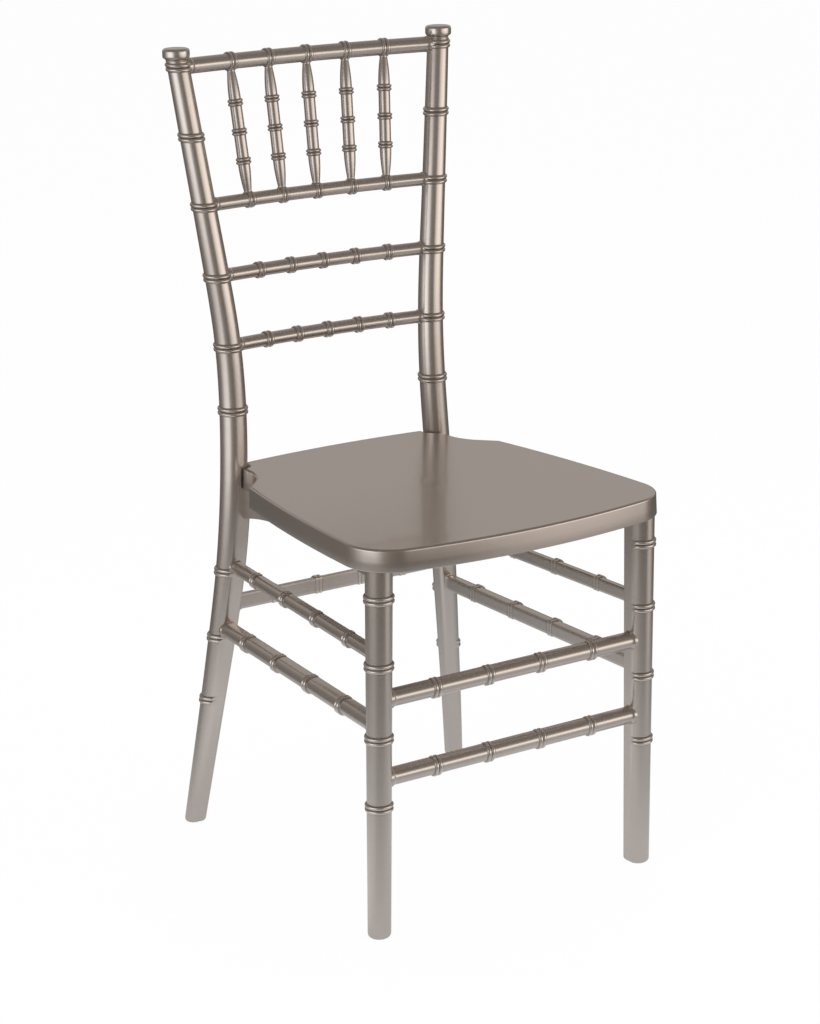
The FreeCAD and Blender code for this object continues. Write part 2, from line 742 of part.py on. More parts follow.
def build():
    """Shape every member, cut the joints and write the files."""
    rails = {
        "top_rail": TOP_RAIL,
        "spindle_rail": SPINDLE_RAIL,
        "back_rail_upper": BACK_RAIL_UPPER,
        "back_rail_lower": BACK_RAIL_LOWER,
    }
    sides = {
        "upper": (322.6, 328.2, SIDE_UPPER, -118.0),
        "lower": (243.6, 250.6, SIDE_LOWER, -107.0),
    }
    screws = block_screws()
    knob = finial()

    post = rear_post_body()
    cuts = [rail_socket(spec) for spec in rails.values()]
    cuts.append(rear_stretcher(FIT))
    cuts += [side_stretcher(*line, FIT) for line in sides.values()]
    rear_board = rear_rail()
    side_board = side_rail()
    cuts += [rear_board, side_board]
    peg = post_at(POST_TOP + FINIAL_H / 2.0)[0]
    cuts.append(Part.makeCylinder(FINIAL_PEG_R + FIT, 30, V(peg.x, peg.y, POST_TOP - FINIAL_PEG_L - 0.3)))
    post = post.cut(cuts)
    save("rear_post_right", post)
    save("rear_post_left", mirrored(post))
    save("finial_right", knob)
    save("finial_left", mirrored(knob))

    leg = front_leg_body()
    front_board = front_rail()
    cuts = [front_stretcher(z, FIT) for z in FRONT_STRETCHER_Z]
    cuts += [side_stretcher(*line, FIT) for line in sides.values()]
    cuts += [front_board, side_board]
    leg = leg.cut(cuts)
    save("front_leg_right", leg)
    save("front_leg_left", mirrored(leg))

    for name, spec in rails.items():
        rail = back_rail(spec)
        if name == "top_rail":
            rail = rail.cut([knob, mirrored(knob)] + spindle_sockets("top"))
        if name == "spindle_rail":
            rail = rail.cut(spindle_sockets("low"))
        save(name, rail)
    for i in range(-2, 3):
        save("spindle_%d" % (i + 3), spindle(i))

    save("front_stretcher_upper", front_stretcher(FRONT_STRETCHER_Z[0]))
    save("front_stretcher_lower", front_stretcher(FRONT_STRETCHER_Z[1]))
    save("rear_stretcher", rear_stretcher())
    for name, line in sides.items():
        bar = side_stretcher(*line)
        save("side_stretcher_right_" + name, bar)
        save("side_stretcher_left_" + name, mirrored(bar))

    save("seat_panel", seat_panel())

    holes = [screw_hole(start, way, BLOCK_SCREW_L) for start, way in screws]
    save("seat_rail_front", front_board.cut(holes))
    save("seat_rail_rear", rear_board.cut(holes))
    right_board = side_board.cut(holes)
    save("seat_rail_right", right_board)
    save("seat_rail_left", mirrored(right_board))

    seat_screws = []
    for x, y in screw_places():
        seat_screws.append(V(x, y, FRONT_BLOCK_BOTTOM if y < 0 else REAR_BLOCK_BOTTOM))
    up_holes = [screw_hole(p, Z_DIR, SEAT_SCREW_TOP - p.z) for p in seat_screws]
    boards = [side_board, rear_board, front_board]
    blocks = {
        "front": corner_block((164.5, -184.0), 1, 22.0, FRONT_BLOCK_BOTTOM),
        "rear": corner_block((131.6, 171.0), -1, 24.0, REAR_BLOCK_BOTTOM),
    }
    for name, block in blocks.items():
        shaped = max(block.cut(boards).Solids, key=lambda s: s.Volume)
        shaped = shaped.cut(holes + up_holes)
        save("corner_block_" + name + "_right", shaped)
        save("corner_block_" + name + "_left", mirrored(shaped))
    save("block_screws", Part.Compound([wood_screw(s, w, BLOCK_SCREW_L) for s, w in screws]))
    save("seat_screws", Part.Compound([wood_screw(p, Z_DIR, SEAT_SCREW_TOP - p.z) for p in seat_screws]))

    spots = []
    for centre in (front_leg_at(0)[0], post_at(0)[0]):
        spots += [(centre.x, centre.y), (-centre.x, centre.y)]
    save("foot_glides", Part.Compound([glide(x, y) for x, y in spots]))


build()
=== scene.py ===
# %% [markdown]
# A ballroom side chair with ring-turned members and a satin champagne finish. The
# construction comes in as fixed solids in metres. Dressing the solids alone would leave their
# joints hard, so every visible piece below is shaped anew from the same sizes, stands in the
# same place, and adds what the solids leave out: flared joints, even skins and a finish.

# %% Load the chair's construction
import math

import bmesh
import bpy
from mathutils import Matrix, Vector


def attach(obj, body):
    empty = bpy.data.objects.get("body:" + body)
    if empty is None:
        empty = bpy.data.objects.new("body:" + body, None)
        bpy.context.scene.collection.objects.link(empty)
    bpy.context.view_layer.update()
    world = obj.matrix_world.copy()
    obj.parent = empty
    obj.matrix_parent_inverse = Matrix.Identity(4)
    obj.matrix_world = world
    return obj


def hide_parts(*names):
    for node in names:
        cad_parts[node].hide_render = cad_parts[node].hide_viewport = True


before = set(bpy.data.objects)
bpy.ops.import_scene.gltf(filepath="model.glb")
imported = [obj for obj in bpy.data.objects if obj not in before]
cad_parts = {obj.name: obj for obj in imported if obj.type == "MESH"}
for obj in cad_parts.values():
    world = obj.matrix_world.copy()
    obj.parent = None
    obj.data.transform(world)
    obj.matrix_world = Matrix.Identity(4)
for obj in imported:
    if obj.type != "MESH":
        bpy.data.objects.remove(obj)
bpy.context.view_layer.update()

MM = 0.001
scene = bpy.context.scene

# %% [markdown]
# The camera stands where the photographer stood: 32 degrees to the left of the front, 16
# degrees above the horizon and nearly three metres away, with a long lens. It could be aimed
# by a constraint, but the picture is also tilted by one degree, so its three axes are
# written as a matrix, which holds place, aim and tilt at once.

# %% Camera
AZIMUTH = math.radians(-32.4018)
ELEVATION = math.radians(16.2568)
ROLL = math.radians(-1.1434)
CAMERA_PLACE = (-1.55663, -2.44088, 1.25736)
FOCAL_LENGTH = 93.43
FILM_WIDTH = 36.0
SHIFT_ASIDE, SHIFT_UP = -0.00309, -0.00324


def camera_axes():
    """The camera's right, up and backward directions."""
    sin_a, cos_a = math.sin(AZIMUTH), math.cos(AZIMUTH)
    sin_e, cos_e = math.sin(ELEVATION), math.cos(ELEVATION)
    back = Vector((sin_a * cos_e, -cos_a * cos_e, sin_e))
    right = Vector((cos_a, sin_a, 0.0))
    up = back.cross(right)
    turned_right = right * math.cos(ROLL) + up * math.sin(ROLL)
    turned_up = up * math.cos(ROLL) - right * math.sin(ROLL)
    return turned_right, turned_up, back


lens = bpy.data.cameras.new("camera")
lens.lens = FOCAL_LENGTH
lens.sensor_width = FILM_WIDTH
lens.shift_x = SHIFT_ASIDE
lens.shift_y = SHIFT_UP
lens.clip_end = 50.0
camera = bpy.data.objects.new("camera", lens)
scene.collection.objects.link(camera)
right, up, back = camera_axes()
camera.matrix_world = Matrix((
    (right.x, up.x, back.x, CAMERA_PLACE[0]),
    (right.y, up.y, back.y, CAMERA_PLACE[1]),
    (right.z, up.z, back.z, CAMERA_PLACE[2]),
    (0.0, 0.0, 0.0, 1.0),
))
scene.camera = camera
scene.view_settings.view_transform = "Standard"
print("camera at", tuple(round(v, 3) for v in camera.location))

# %% [markdown]
# Materials and geometry are both trees of nodes. Drawing them link by link is long, so a
# small class wraps one output socket and lets Python's own signs add the arithmetic nodes.
# An expression such as 1 - mask then reads as it would on paper.


# %% Node trees as expressions
class Board:
    """A node tree to which nodes are added by one method."""

    def __init__(self, tree):
        self.tree = tree

    def node(self, kind, settings, values, output=0):
        """Add a node: its settings first, then the value or link of each socket."""
        made = self.tree.nodes.new(kind)
        for name, value in settings.items():
            if name == "stops":
                self.fill_ramp(made.color_ramp, value)
            else:
                setattr(made, name, value)
        for place, value in values.items():
            if isinstance(value, Wire):
                self.tree.links.new(value.socket, made.inputs[place])
            else:
                made.inputs[place].default_value = value
        return Wire(self, made.outputs[output]) if made.outputs else made

    def fill_ramp(self, ramp, stops):
        """Give a colour ramp its stops, each a position and a grey level, in rising order."""
        ramp.elements.remove(ramp.elements[1])
        ramp.elements[0].position = stops[0][0]
        ramp.elements[0].color = (stops[0][1],) * 3 + (1.0,)
        for position, level in stops[1:]:
            ramp.elements.new(position).color = (level,) * 3 + (1.0,)


class Wire:
    """One output socket that takes part in arithmetic."""

    def __init__(self, board, socket):
        self.board = board
        self.socket = socket

    def math(self, operation, first, second=None):
        """One Math node on one or two values."""
        values = {0: first} if second is None else {0: first, 1: second}
        return self.board.node("ShaderNodeMath", {"operation": operation}, values)

    def other(self, name):
        """Another output of the same node."""
        return Wire(self.board, self.socket.node.outputs[name])

    def __add__(self, other):
        return self.math("ADD", self, other)

    def __radd__(self, other):
        return self.math("ADD", other, self)

    def __sub__(self, other):
        return self.math("SUBTRACT", self, other)

    def __rsub__(self, other):
        return self.math("SUBTRACT", other, self)

    def __mul__(self, other):
        return self.math("MULTIPLY", self, other)

    def __rmul__(self, other):
        return self.math("MULTIPLY", other, self)

    def __truediv__(self, other):
        return self.math("DIVIDE", self, other)

    def __rtruediv__(self, other):
        return self.math("DIVIDE", other, self)

    def __pow__(self, other):
        return self.math("POWER", self, other)

    def __lt__(self, other):
        return self.math("LESS_THAN", self, other)

    def low(self, other):
        """The smaller of two values."""
        return self.math("MINIMUM", self, other)

    def high(self, other):
        """The larger of two values."""
        return self.math("MAXIMUM", self, other)

    def size(self):
        """The value without its sign."""
        return self.math("ABSOLUTE", self)

    def kept(self):
        """The value held between 0 and 1."""
        return self.high(0.0).low(1.0)


print("boards and wires are ready")

# %% [markdown]
# The real finish is a champagne-coloured metallic coat on a moulded body: even from afar,
# with a very fine sparkle and a soft skin like an orange's. The crests are painted a touch
# brighter, a painted highlight with a little rubbed wear, and the grooves darker, painted
# shade with some dust. A picture of the coat would be the quick way, but noise on the
# object's own coordinates has no seams and no end. Two numbers that the meshes carry,
# "ring" and "groove", say where crests and grooves are.


# %% Helpers for materials
CHAMPAGNE = (0.62, 0.55, 0.50)
SEAT_CHAMPAGNE = (0.585, 0.51, 0.465)
BOARD_CHAMPAGNE = (0.50, 0.44, 0.39)


def mixed(board, amount, first, second):
    """Blend two colours by an amount."""
    values = {0: amount, 6: first, 7: second}
    return board.node("ShaderNodeMix", {"data_type": "RGBA"}, values, 2)


def noise(board, place, scale, detail=3.0, roughness=0.5):
    """Soft noise from 0 to 1; a larger scale makes a finer grain."""
    values = {"Vector": place, "Scale": scale, "Detail": detail, "Roughness": roughness}
    return board.node("ShaderNodeTexNoise", {}, values)


def new_material(name):
    """An empty material and the board for its nodes."""
    material = bpy.data.materials.new(name)
    material.use_nodes = True
    material.node_tree.nodes.clear()
    return material, Board(material.node_tree)


def colour(rgb, gain=1.0):
    """A colour made brighter or darker by a gain, with its alpha."""
    return tuple(min(v * gain, 1.0) for v in rgb) + (1.0,)


def carried(board, name):
    """A number from 0 to 1 that the mesh carries at its points."""
    return board.node("ShaderNodeAttribute", {"attribute_name": name}, {}, "Fac")


print("a darker champagne:", [round(v, 3) for v in colour(CHAMPAGNE, 0.95)])

# %% [markdown]
# Every coated piece has the same recipe with its own numbers, so that posts, seat, knobs and
# boards differ as they do on the chair. The colour is clouded, then speckled, then lightened
# on the crests as a painted highlight with a little rubbed wear, and darkened in the grooves
# as painted shade with some dust. Two bumps bend the light: one wide and shallow, for the
# moulded body below, and one very fine, for the skin of the coat.


# %% The metallic finish
CLOUD_SCALE, WAVE_SCALE, PEEL_SCALE, FLAKE_SCALE = 7.0, 38.0, 900.0, 2600.0
WAVE_DEPTH, PEEL_DEPTH = 0.0006, 0.00002
# The colour of the painted shade, with some dust, in the grooves.
GROOVE_SHADE_AND_DUST = (0.15, 0.12, 0.095)


def coat_tone(board, base, cloud, flake, ring, groove, sparkle, crest_sheen_and_wear):
    """The coat's colour over clouds and flakes, with a painted highlight on the crests and painted shade in
    the grooves.
    """
    tone = mixed(board, cloud, colour(base, 0.96), colour(base, 1.04))
    tone = mixed(board, ((flake - 0.5) * sparkle + 0.5).kept(), colour(base, 0.95), tone)
    # Painted highlight on the crests, with a little rubbed wear.
    tone = mixed(board, (ring * crest_sheen_and_wear).kept(), tone, colour(base, 1.3))
    # Painted shade, with some dust, in the grooves.
    return mixed(board, (groove * 0.6).kept(), tone, colour(GROOVE_SHADE_AND_DUST))


def coat_bump(board, place, peel):
    """A wide soft wave with a fine skin on it."""
    wave = noise(board, place, WAVE_SCALE, 2.0)
    fine = noise(board, place, PEEL_SCALE, 2.0)
    values = {"Strength": 0.22, "Distance": WAVE_DEPTH, "Height": wave}
    soft = board.node("ShaderNodeBump", {}, values)
    values = {"Strength": peel, "Distance": PEEL_DEPTH, "Height": fine, "Normal": soft}
    return board.node("ShaderNodeBump", {}, values)


def champagne(name, base, metal, rough, coat, sparkle, peel, crest_sheen_and_wear):
    """A metallic coat over a moulded body; the last number sets how strong the painted highlight, with a
    little rubbed wear, is on the crests.
    """
    material, board = new_material(name)
    place = board.node("ShaderNodeTexCoord", {}, {}, "Object")
    cloud = noise(board, place, CLOUD_SCALE, 2.0)
    flake = noise(board, place, FLAKE_SCALE, 2.0, 0.6)
    ring, groove = carried(board, "ring"), carried(board, "groove")
    shine = rough + (flake - 0.5) * 0.05 + (cloud - 0.5) * 0.04 - ring * 0.04 + groove * 0.15
    values = {
        "Base Color": coat_tone(board, base, cloud, flake, ring, groove, sparkle, crest_sheen_and_wear),
        "Metallic": metal, "Roughness": shine, "Normal": coat_bump(board, place, peel),
        "Coat Weight": coat, "Coat Roughness": 0.06, "IOR": 1.5,
    }
    surface = board.node("ShaderNodeBsdfPrincipled", {}, values)
    board.node("ShaderNodeOutputMaterial", {}, {"Surface": surface})
    return material


frame_finish = champagne("champagne_frame", CHAMPAGNE, 0.92, 0.24, 0.20, 0.9, 0.18, 0.5)
seat_finish = champagne("champagne_seat", SEAT_CHAMPAGNE, 0.93, 0.25, 0.55, 0.9, 0.15, 0.2)
knob_finish = champagne("champagne_knob", CHAMPAGNE, 0.92, 0.22, 0.25, 1.0, 0.25, 0.25)
board_finish = champagne("champagne_board", BOARD_CHAMPAGNE, 0.75, 0.36, 0.05, 1.0, 0.40, 0.2)
print("finishes:", frame_finish.name, seat_finish.name, knob_finish.name, board_finish.name)

# %% [markdown]
# Three plain finishes serve the pieces underneath: the corner blocks are the same moulded
# body with no coat, the screws are zinc-plated steel with a fine grain, and the glides are
# pale matt plastic scuffed by the floor. They are seldom seen, so one short recipe of a
# cloud, a grain and a bump serves all three.


# %% Plain finishes
def plain(name, base, metal, rough, scale, depth):
    """A plain body with clouding, a fine grain and a soft bump."""
    material, board = new_material(name)
    place = board.node("ShaderNodeTexCoord", {}, {}, "Object")
    cloud = noise(board, place, scale * 0.05, 3.0)
    fine = noise(board, place, scale, 3.0, 0.6)
    tone = mixed(board, cloud, colour(base, 0.86), colour(base, 1.1))
    tone = mixed(board, (fine * 0.35).kept(), tone, colour(base, 0.7))
    bump = board.node("ShaderNodeBump", {}, {"Strength": 0.5, "Distance": depth, "Height": fine})
    shine = rough + (fine - 0.5) * 0.25
    values = {"Base Color": tone, "Metallic": metal, "Roughness": shine, "Normal": bump}
    surface = board.node("ShaderNodeBsdfPrincipled", {}, values)
    board.node("ShaderNodeOutputMaterial", {}, {"Surface": surface})
    return material


block_finish = plain("bare_block", (0.47, 0.41, 0.35), 0.0, 0.55, 700.0, 0.0002)
screw_finish = plain("zinc_screw", (0.62, 0.62, 0.64), 1.0, 0.34, 1500.0, 0.00005)
glide_finish = plain("pale_glide", (0.72, 0.71, 0.68), 0.0, 0.6, 900.0, 0.0001)
print("finishes:", block_finish.name, screw_finish.name, glide_finish.name)

# %% [markdown]
# The rear posts are long pieces that lean, bend and swell, while the front legs are nearly
# straight. A path with a bevel could bend a tube, but the rings have to stay level, as they
# are on a post turned between centres. So a member is a stack of level outlines, and its
# centre and radius come from a smooth curve through twelve heights, as in the solids.

# %% Lines of the posts and legs
POST_STATIONS = [
    (0.0, 188.6, 223.7, 11.3), (80.0, 178.9, 212.2, 12.2), (165.0, 168.2, 200.7, 13.2),
    (240.0, 158.9, 191.0, 14.3), (320.0, 149.6, 182.2, 15.2), (423.0, 141.3, 177.0, 15.8),
    (515.0, 137.2, 179.0, 15.6), (600.0, 139.0, 183.2, 14.9), (670.0, 145.6, 188.6, 14.4),
    (750.0, 154.8, 195.4, 13.7), (830.0, 164.0, 202.4, 13.2), (912.7, 173.4, 209.8, 12.6),
]
POST_TOP = 912.7
LEDGE = 423.0
POST_RINGS = [161.5, 240.1, 322.0, 513.7, 587.8, 668.3, 749.6, 828.3, 906.3]
LEG_RINGS = [154.2, 232.6, 314.4, 389.6]
FRONT_FOOT = (176.2, -180.0, 12.9)
FRONT_TOP = (171.9, -189.7, 14.8)
BEAD_H, BEAD_PROUD = 4.9, 2.1


def bends(column):
    """Second derivatives of a natural cubic through one column of the stations."""
    z = [s[0] for s in POST_STATIONS]
    v = [s[column] for s in POST_STATIONS]
    n = len(z)
    low, rhs, second = [0.0] * n, [0.0] * n, [0.0] * n
    for i in range(1, n - 1):
        h0, h1 = z[i] - z[i - 1], z[i + 1] - z[i]
        bend = 6.0 * ((v[i + 1] - v[i]) / h1 - (v[i] - v[i - 1]) / h0)
        pivot = 2.0 * (h0 + h1) - h0 * low[i - 1]
        low[i], rhs[i] = h1 / pivot, (bend - h0 * rhs[i - 1]) / pivot
    for i in range(n - 2, 0, -1):
        second[i] = rhs[i] - low[i] * second[i + 1]
    return second


BENDS = {1: bends(1), 2: bends(2), 3: bends(3)}


def post_value(column, height):
    """One column of the stations, read off the smooth curve at a height."""
    i = 0
    while i < len(POST_STATIONS) - 2 and height > POST_STATIONS[i + 1][0]:
        i += 1
    z0, z1 = POST_STATIONS[i][0], POST_STATIONS[i + 1][0]
    h = z1 - z0
    a, b = (z1 - height) / h, (height - z0) / h
    bend = BENDS[column]
    curve = ((a ** 3 - a) * bend[i] + (b ** 3 - b) * bend[i + 1]) * h * h / 6.0
    return a * POST_STATIONS[i][column] + b * POST_STATIONS[i + 1][column] + curve


def post_at(height):
    """Side position, depth position and radius of the right rear post."""
    return tuple(post_value(c, height) for c in (1, 2, 3))


def leg_at(height):
    """Side position, depth position and radius of the right front leg."""
    t = height / LEDGE
    return tuple(a + (b - a) * t for a, b in zip(FRONT_FOOT, FRONT_TOP))


print("post at the seat:", [round(v, 1) for v in post_at(LEDGE)])

# %% [markdown]
# One outline goes round the member: a full circle above the seat, and below it a circle
# outside with a square corner inside, where the stretchers and the seat rails land. A bead
# swells the circle and runs out where the flat faces begin. Giving the distance from the
# axis for every direction is simpler than joining arcs and lines, and it never fails.

# %% Outline of a member
SIDES = 120
CORNER_R = 4.0
GROOVE_WIDTH = 0.75


def square_reach(p, q, r):
    """Distance to a rounded square of half-width r, in the direction (p, q)."""
    if q <= p * (r - CORNER_R) / r:
        return r / p
    if p <= q * (r - CORNER_R) / r:
        return r / q
    k = (r - CORNER_R) * (p + q)
    return k + math.sqrt(max(k * k - 2 * (r - CORNER_R) ** 2 + CORNER_R ** 2, 0.0))


def member_reach(angle, r, bead, depth_sign):
    """Distance from the axis to the surface; depth_sign 0 means round all over."""
    p, q = -math.cos(angle), depth_sign * math.sin(angle)
    if depth_sign == 0:
        return r + bead
    if p > 1e-9 and q > 1e-9:
        return square_reach(p, q, r)
    if p > 1e-9:
        return min(r + bead, r / p)
    if q > 1e-9:
        return min(r + bead, r / q)
    return r + bead


def bead_shape(offset):
    """Height of the twin beads, from 0 to 1, at an offset from the ring's middle."""
    v = (abs(offset) - BEAD_H / 2.0) / (BEAD_H / 2.0)
    return math.sqrt(max(1.0 - v * v, 0.0))


def groove_shape(offset):
    """How strongly painted shade and dust darken the three grooves beside and between the beads."""
    near = min(abs(offset), abs(abs(offset) - BEAD_H))
    return max(1.0 - near / GROOVE_WIDTH, 0.0)


print("a bead's crest and foot:", bead_shape(BEAD_H / 2.0), bead_shape(BEAD_H))

# %% [markdown]
# The outlines are close together over a ring, where the shape turns quickly, and far apart
# between rings. Joining neighbouring outlines with quads gives a skin that is closed at both
# ends. Spreading them evenly would need ten times the faces for beads as crisp.

# %% Skin over outlines
LEVEL_STEP = 9.0
RING_ROOM = 6.5
RING_STEPS = [0.0, 0.12, 0.35, 0.8, 1.35, 1.9, 2.45, 3.0, 3.55, 4.1, 4.55, 4.78, 4.9, 5.05, 5.9]


def heights_of(bottom, top, rings, extra=()):
    """Sorted heights of the outlines of one member."""
    count = int((top - bottom) / LEVEL_STEP)
    out = [bottom + (top - bottom) * i / count for i in range(count + 1)]
    out = [z for z in out if all(abs(z - r) > RING_ROOM for r in rings)]
    for r in rings:
        out += [r + s for s in RING_STEPS] + [r - s for s in RING_STEPS[1:]]
    out += list(extra) + [bottom, top]
    return sorted({round(z, 3) for z in out if bottom <= z <= top})


def new_piece(name, mesh, material):
    """An object at the origin with one mesh and one material."""
    piece = bpy.data.objects.new(name, mesh)
    scene.collection.objects.link(piece)
    mesh.materials.clear()
    mesh.materials.append(material)
    return piece


def outward(bm):
    """Merge doubled points and turn all faces outward."""
    bmesh.ops.remove_doubles(bm, verts=bm.verts, dist=1e-7)
    bmesh.ops.recalc_face_normals(bm, faces=bm.faces)
    if bm.calc_volume(signed=True) < 0:
        bmesh.ops.reverse_faces(bm, faces=bm.faces)


def skin(name, outlines, rings, grooves, material, crease=38.0):
    """A closed skin through outlines of equal length, in millimetres."""
    bm = bmesh.new()
    ring_layer = bm.verts.layers.float.new("ring")
    groove_layer = bm.verts.layers.float.new("groove")
    loops = []
    for outline, ring, groove in zip(outlines, rings, grooves):
        loop = [bm.verts.new(Vector(p) * MM) for p in outline]
        for vert, value, dark in zip(loop, ring, groove):
            vert[ring_layer] = value
            vert[groove_layer] = dark
        loops.append(loop)
    for a, b in zip(loops, loops[1:]):
        for i in range(len(a)):
            j = (i + 1) % len(a)
            bm.faces.new((a[i], a[j], b[j], b[i]))
    bm.faces.new(list(reversed(loops[0])))
    bm.faces.new(loops[-1])
    outward(bm)
    for face in bm.faces:
        face.smooth = True
    mesh = bpy.data.meshes.new(name)
    bm.to_mesh(mesh)
    bm.free()
    mesh.set_sharp_from_angle(angle=math.radians(crease))
    return new_piece(name, mesh, material)


print("steps over half a ring:", len(RING_STEPS))

# %% [markdown]
# Two posts run from the floor to the knobs, and two legs from the floor to the seat. A foot
# is rounded by five millimetres and stands 0.8 mm clear of the floor on its glide. A bevel
# can bunch up on an outline that is half circle and half square, so the outlines near the
# floor are pulled in by the circle's own formula instead.

# %% Rear posts and front legs
FOOT_ROUND, GLIDE_PROUD = 5.0, 0.8
FLAT_EDGE = 0.86
FOOT_STEPS = [GLIDE_PROUD + FOOT_ROUND * (1 - math.cos(math.radians(a))) for a in range(0, 91, 15)]


def pulled_in(z):
    """How much a foot's outline is drawn in at a height."""
    depth = z - GLIDE_PROUD
    if depth >= FOOT_ROUND:
        return 0.0
    return FOOT_ROUND - math.sqrt(max(FOOT_ROUND ** 2 - (FOOT_ROUND - depth) ** 2, 0.0))


def level(side, place, z, bead, dark, sign):
    """One outline of a member, with its marks for crests and grooves."""
    x, y, r = place
    outline, crest, groove = [], [], []
    for i in range(SIDES):
        angle = 2 * math.pi * i / SIDES
        inward, along = -math.cos(angle), sign * math.sin(angle)
        on_flat = inward > FLAT_EDGE or along > FLAT_EDGE or (inward > 0 and along > 0)
        marked = sign == 0 or not on_flat
        reach = member_reach(angle, r, bead * BEAD_PROUD, sign) - pulled_in(z)
        outline.append((side * (x + reach * math.cos(angle)), y + reach * math.sin(angle), z))
        crest.append(bead ** 4 if marked else 0.0)
        groove.append(dark if marked else 0.0)
    return outline, crest, groove


def member(name, side, top, rings, locate, depth_sign):
    """One post or leg; side is 1 for the right and -1 for the left."""
    levels = []
    extra = FOOT_STEPS + ([LEDGE, LEDGE + 0.05] if LEDGE < top else [])
    for z in heights_of(GLIDE_PROUD, top, rings, extra):
        offset = min((z - h for h in rings), key=abs)
        sign = depth_sign if z <= LEDGE else 0
        levels.append(level(side, locate(z), z, bead_shape(offset), groove_shape(offset), sign))
    outlines, crests, grooves = zip(*levels)
    return skin(name, outlines, crests, grooves, frame_finish)


for word, side in (("right", 1), ("left", -1)):
    post = member("turned_rear_post_" + word, side, POST_TOP, POST_RINGS, post_at, -1)
    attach(post, "root")
    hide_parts("rear_post_" + word)
    leg = member("turned_front_leg_" + word, side, LEDGE, LEG_RINGS, leg_at, 1)
    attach(leg, "root")
    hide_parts("front_leg_" + word)
    print(post.name, len(post.data.polygons), "faces,", leg.name, len(leg.data.polygons), "faces")

# %% [markdown]
# Rails, spindles and stretchers are all one idea: a bar along a path, with evenly spaced
# twin rings. Each could be built point by point as the posts are, but their shape follows a
# rule, so one geometry tree makes them all. It sweeps a circle along the path, and then moves
# every point out to where the section wants it: round, or half-round with a square back. It
# also writes down how high each point stands on a ring, for the finish to read.

# %% Sizes that the bar tree takes
BAR_INPUTS = {
    "Radius": 0.008, "End Radius": 0.008, "Taper Start": 0.0, "Taper End": 0.001,
    "Back": 0.008, "Back Power": 2.0, "Ring Height": BEAD_H * MM, "Ring Proud": BEAD_PROUD * MM,
    "Ridge Proud": BEAD_PROUD * MM, "First Ring": 0.02, "Ring Step": 0.05, "Ring Count": 5.0,
    "Flare": 0.0012, "Flare Start": 0.005, "Flare End": 0.010, "Step": 0.0004,
}


def bar_tree():
    """An empty geometry tree with the bar's named inputs."""
    tree = bpy.data.node_groups.new("ringed_bar", "GeometryNodeTree")
    tree.is_modifier = True
    tree.interface.new_socket("Geometry", in_out="INPUT", socket_type="NodeSocketGeometry")
    for name, value in BAR_INPUTS.items():
        socket = tree.interface.new_socket(name, in_out="INPUT", socket_type="NodeSocketFloat")
        socket.default_value = value
    tree.interface.new_socket("Upright", in_out="INPUT", socket_type="NodeSocketVector")
    tree.interface.new_socket("Finish", in_out="INPUT", socket_type="NodeSocketMaterial")
    tree.interface.new_socket("Geometry", in_out="OUTPUT", socket_type="NodeSocketGeometry")
    return tree


bars = bar_tree()
print("bar inputs:", len(BAR_INPUTS) + 2)

# %% [markdown]
# A ring sits at a certain distance along the bar, so every point has to know that distance.
# Distances along the bar, and directions across it, are stored on the path before the
# sweep, because a swept mesh no longer knows where its path ran.


# %% Path and sweep
SWEEP_SIDES = 48


def stored(board, geometry, name, kind, value):
    """Keep a value at each point of a geometry under a name."""
    settings = {"data_type": kind, "domain": "POINT"}
    values = {"Geometry": geometry, "Name": name, "Value": value}
    return board.node("GeometryNodeStoreNamedAttribute", settings, values)


def named(board, name, kind):
    """A value that was kept under a name."""
    return board.node("GeometryNodeInputNamedAttribute", {"data_type": kind}, {"Name": name})


def vector(board, operation, first, second):
    """One Vector Math node on two directions."""
    values = {0: first, 1: second}
    return board.node("ShaderNodeVectorMath", {"operation": operation}, values)


def scaled(board, direction, amount):
    """A direction or colour times a number."""
    return board.node("ShaderNodeVectorMath", {"operation": "SCALE"}, {0: direction, "Scale": amount})


def swept_path(board, source):
    """The path with its stored facts, swept with a circle of radius 1 mm."""
    path = board.node("GeometryNodeMeshToCurve", {}, {"Mesh": source})
    values = {"Curve": path, "Length": source.other("Step")}
    path = board.node("GeometryNodeResampleCurve", {"mode": "LENGTH"}, values)
    along = board.node("GeometryNodeSplineParameter", {}, {}, "Length")
    whole = board.node("GeometryNodeCurveLength", {}, {"Curve": path})
    way = board.node("GeometryNodeInputTangent", {}, {})
    path = stored(board, path, "along", "FLOAT", along)
    path = stored(board, path, "ahead", "FLOAT", whole - along)
    path = stored(board, path, "way", "FLOAT_VECTOR", way)
    path = stored(board, path, "spot", "FLOAT_VECTOR", board.node("GeometryNodeInputPosition", {}, {}))
    values = {"Resolution": SWEEP_SIDES, "Radius": MM}
    circle = board.node("GeometryNodeCurvePrimitiveCircle", {"mode": "RADIUS"}, values)
    spot = board.node("GeometryNodeInputPosition", {}, {})
    circle = stored(board, circle, "turn", "FLOAT_VECTOR", spot)
    values = {"Curve": path, "Profile Curve": circle, "Fill Caps": True}
    return board.node("GeometryNodeCurveToMesh", {}, values)


print("path steps are written")

# %% [markdown]
# The section is worked out from two numbers, the cosine and sine of the direction round the
# bar. Outside it is a circle. Inside it is a soft square, a power curve whose exponent sets
# how square it is. The rings add to both, more on the round side than over the flat. A drawn
# profile curve would fix one section for the whole bar; a rule can change along it.


# %% Rings, taper and section
SWELL_POWER, FLARE_POWER = 1.75, 2.5
ROUND_SIDE, ROUND_BLEND = 0.14, 0.2
SQUARE_FROM = 3.0


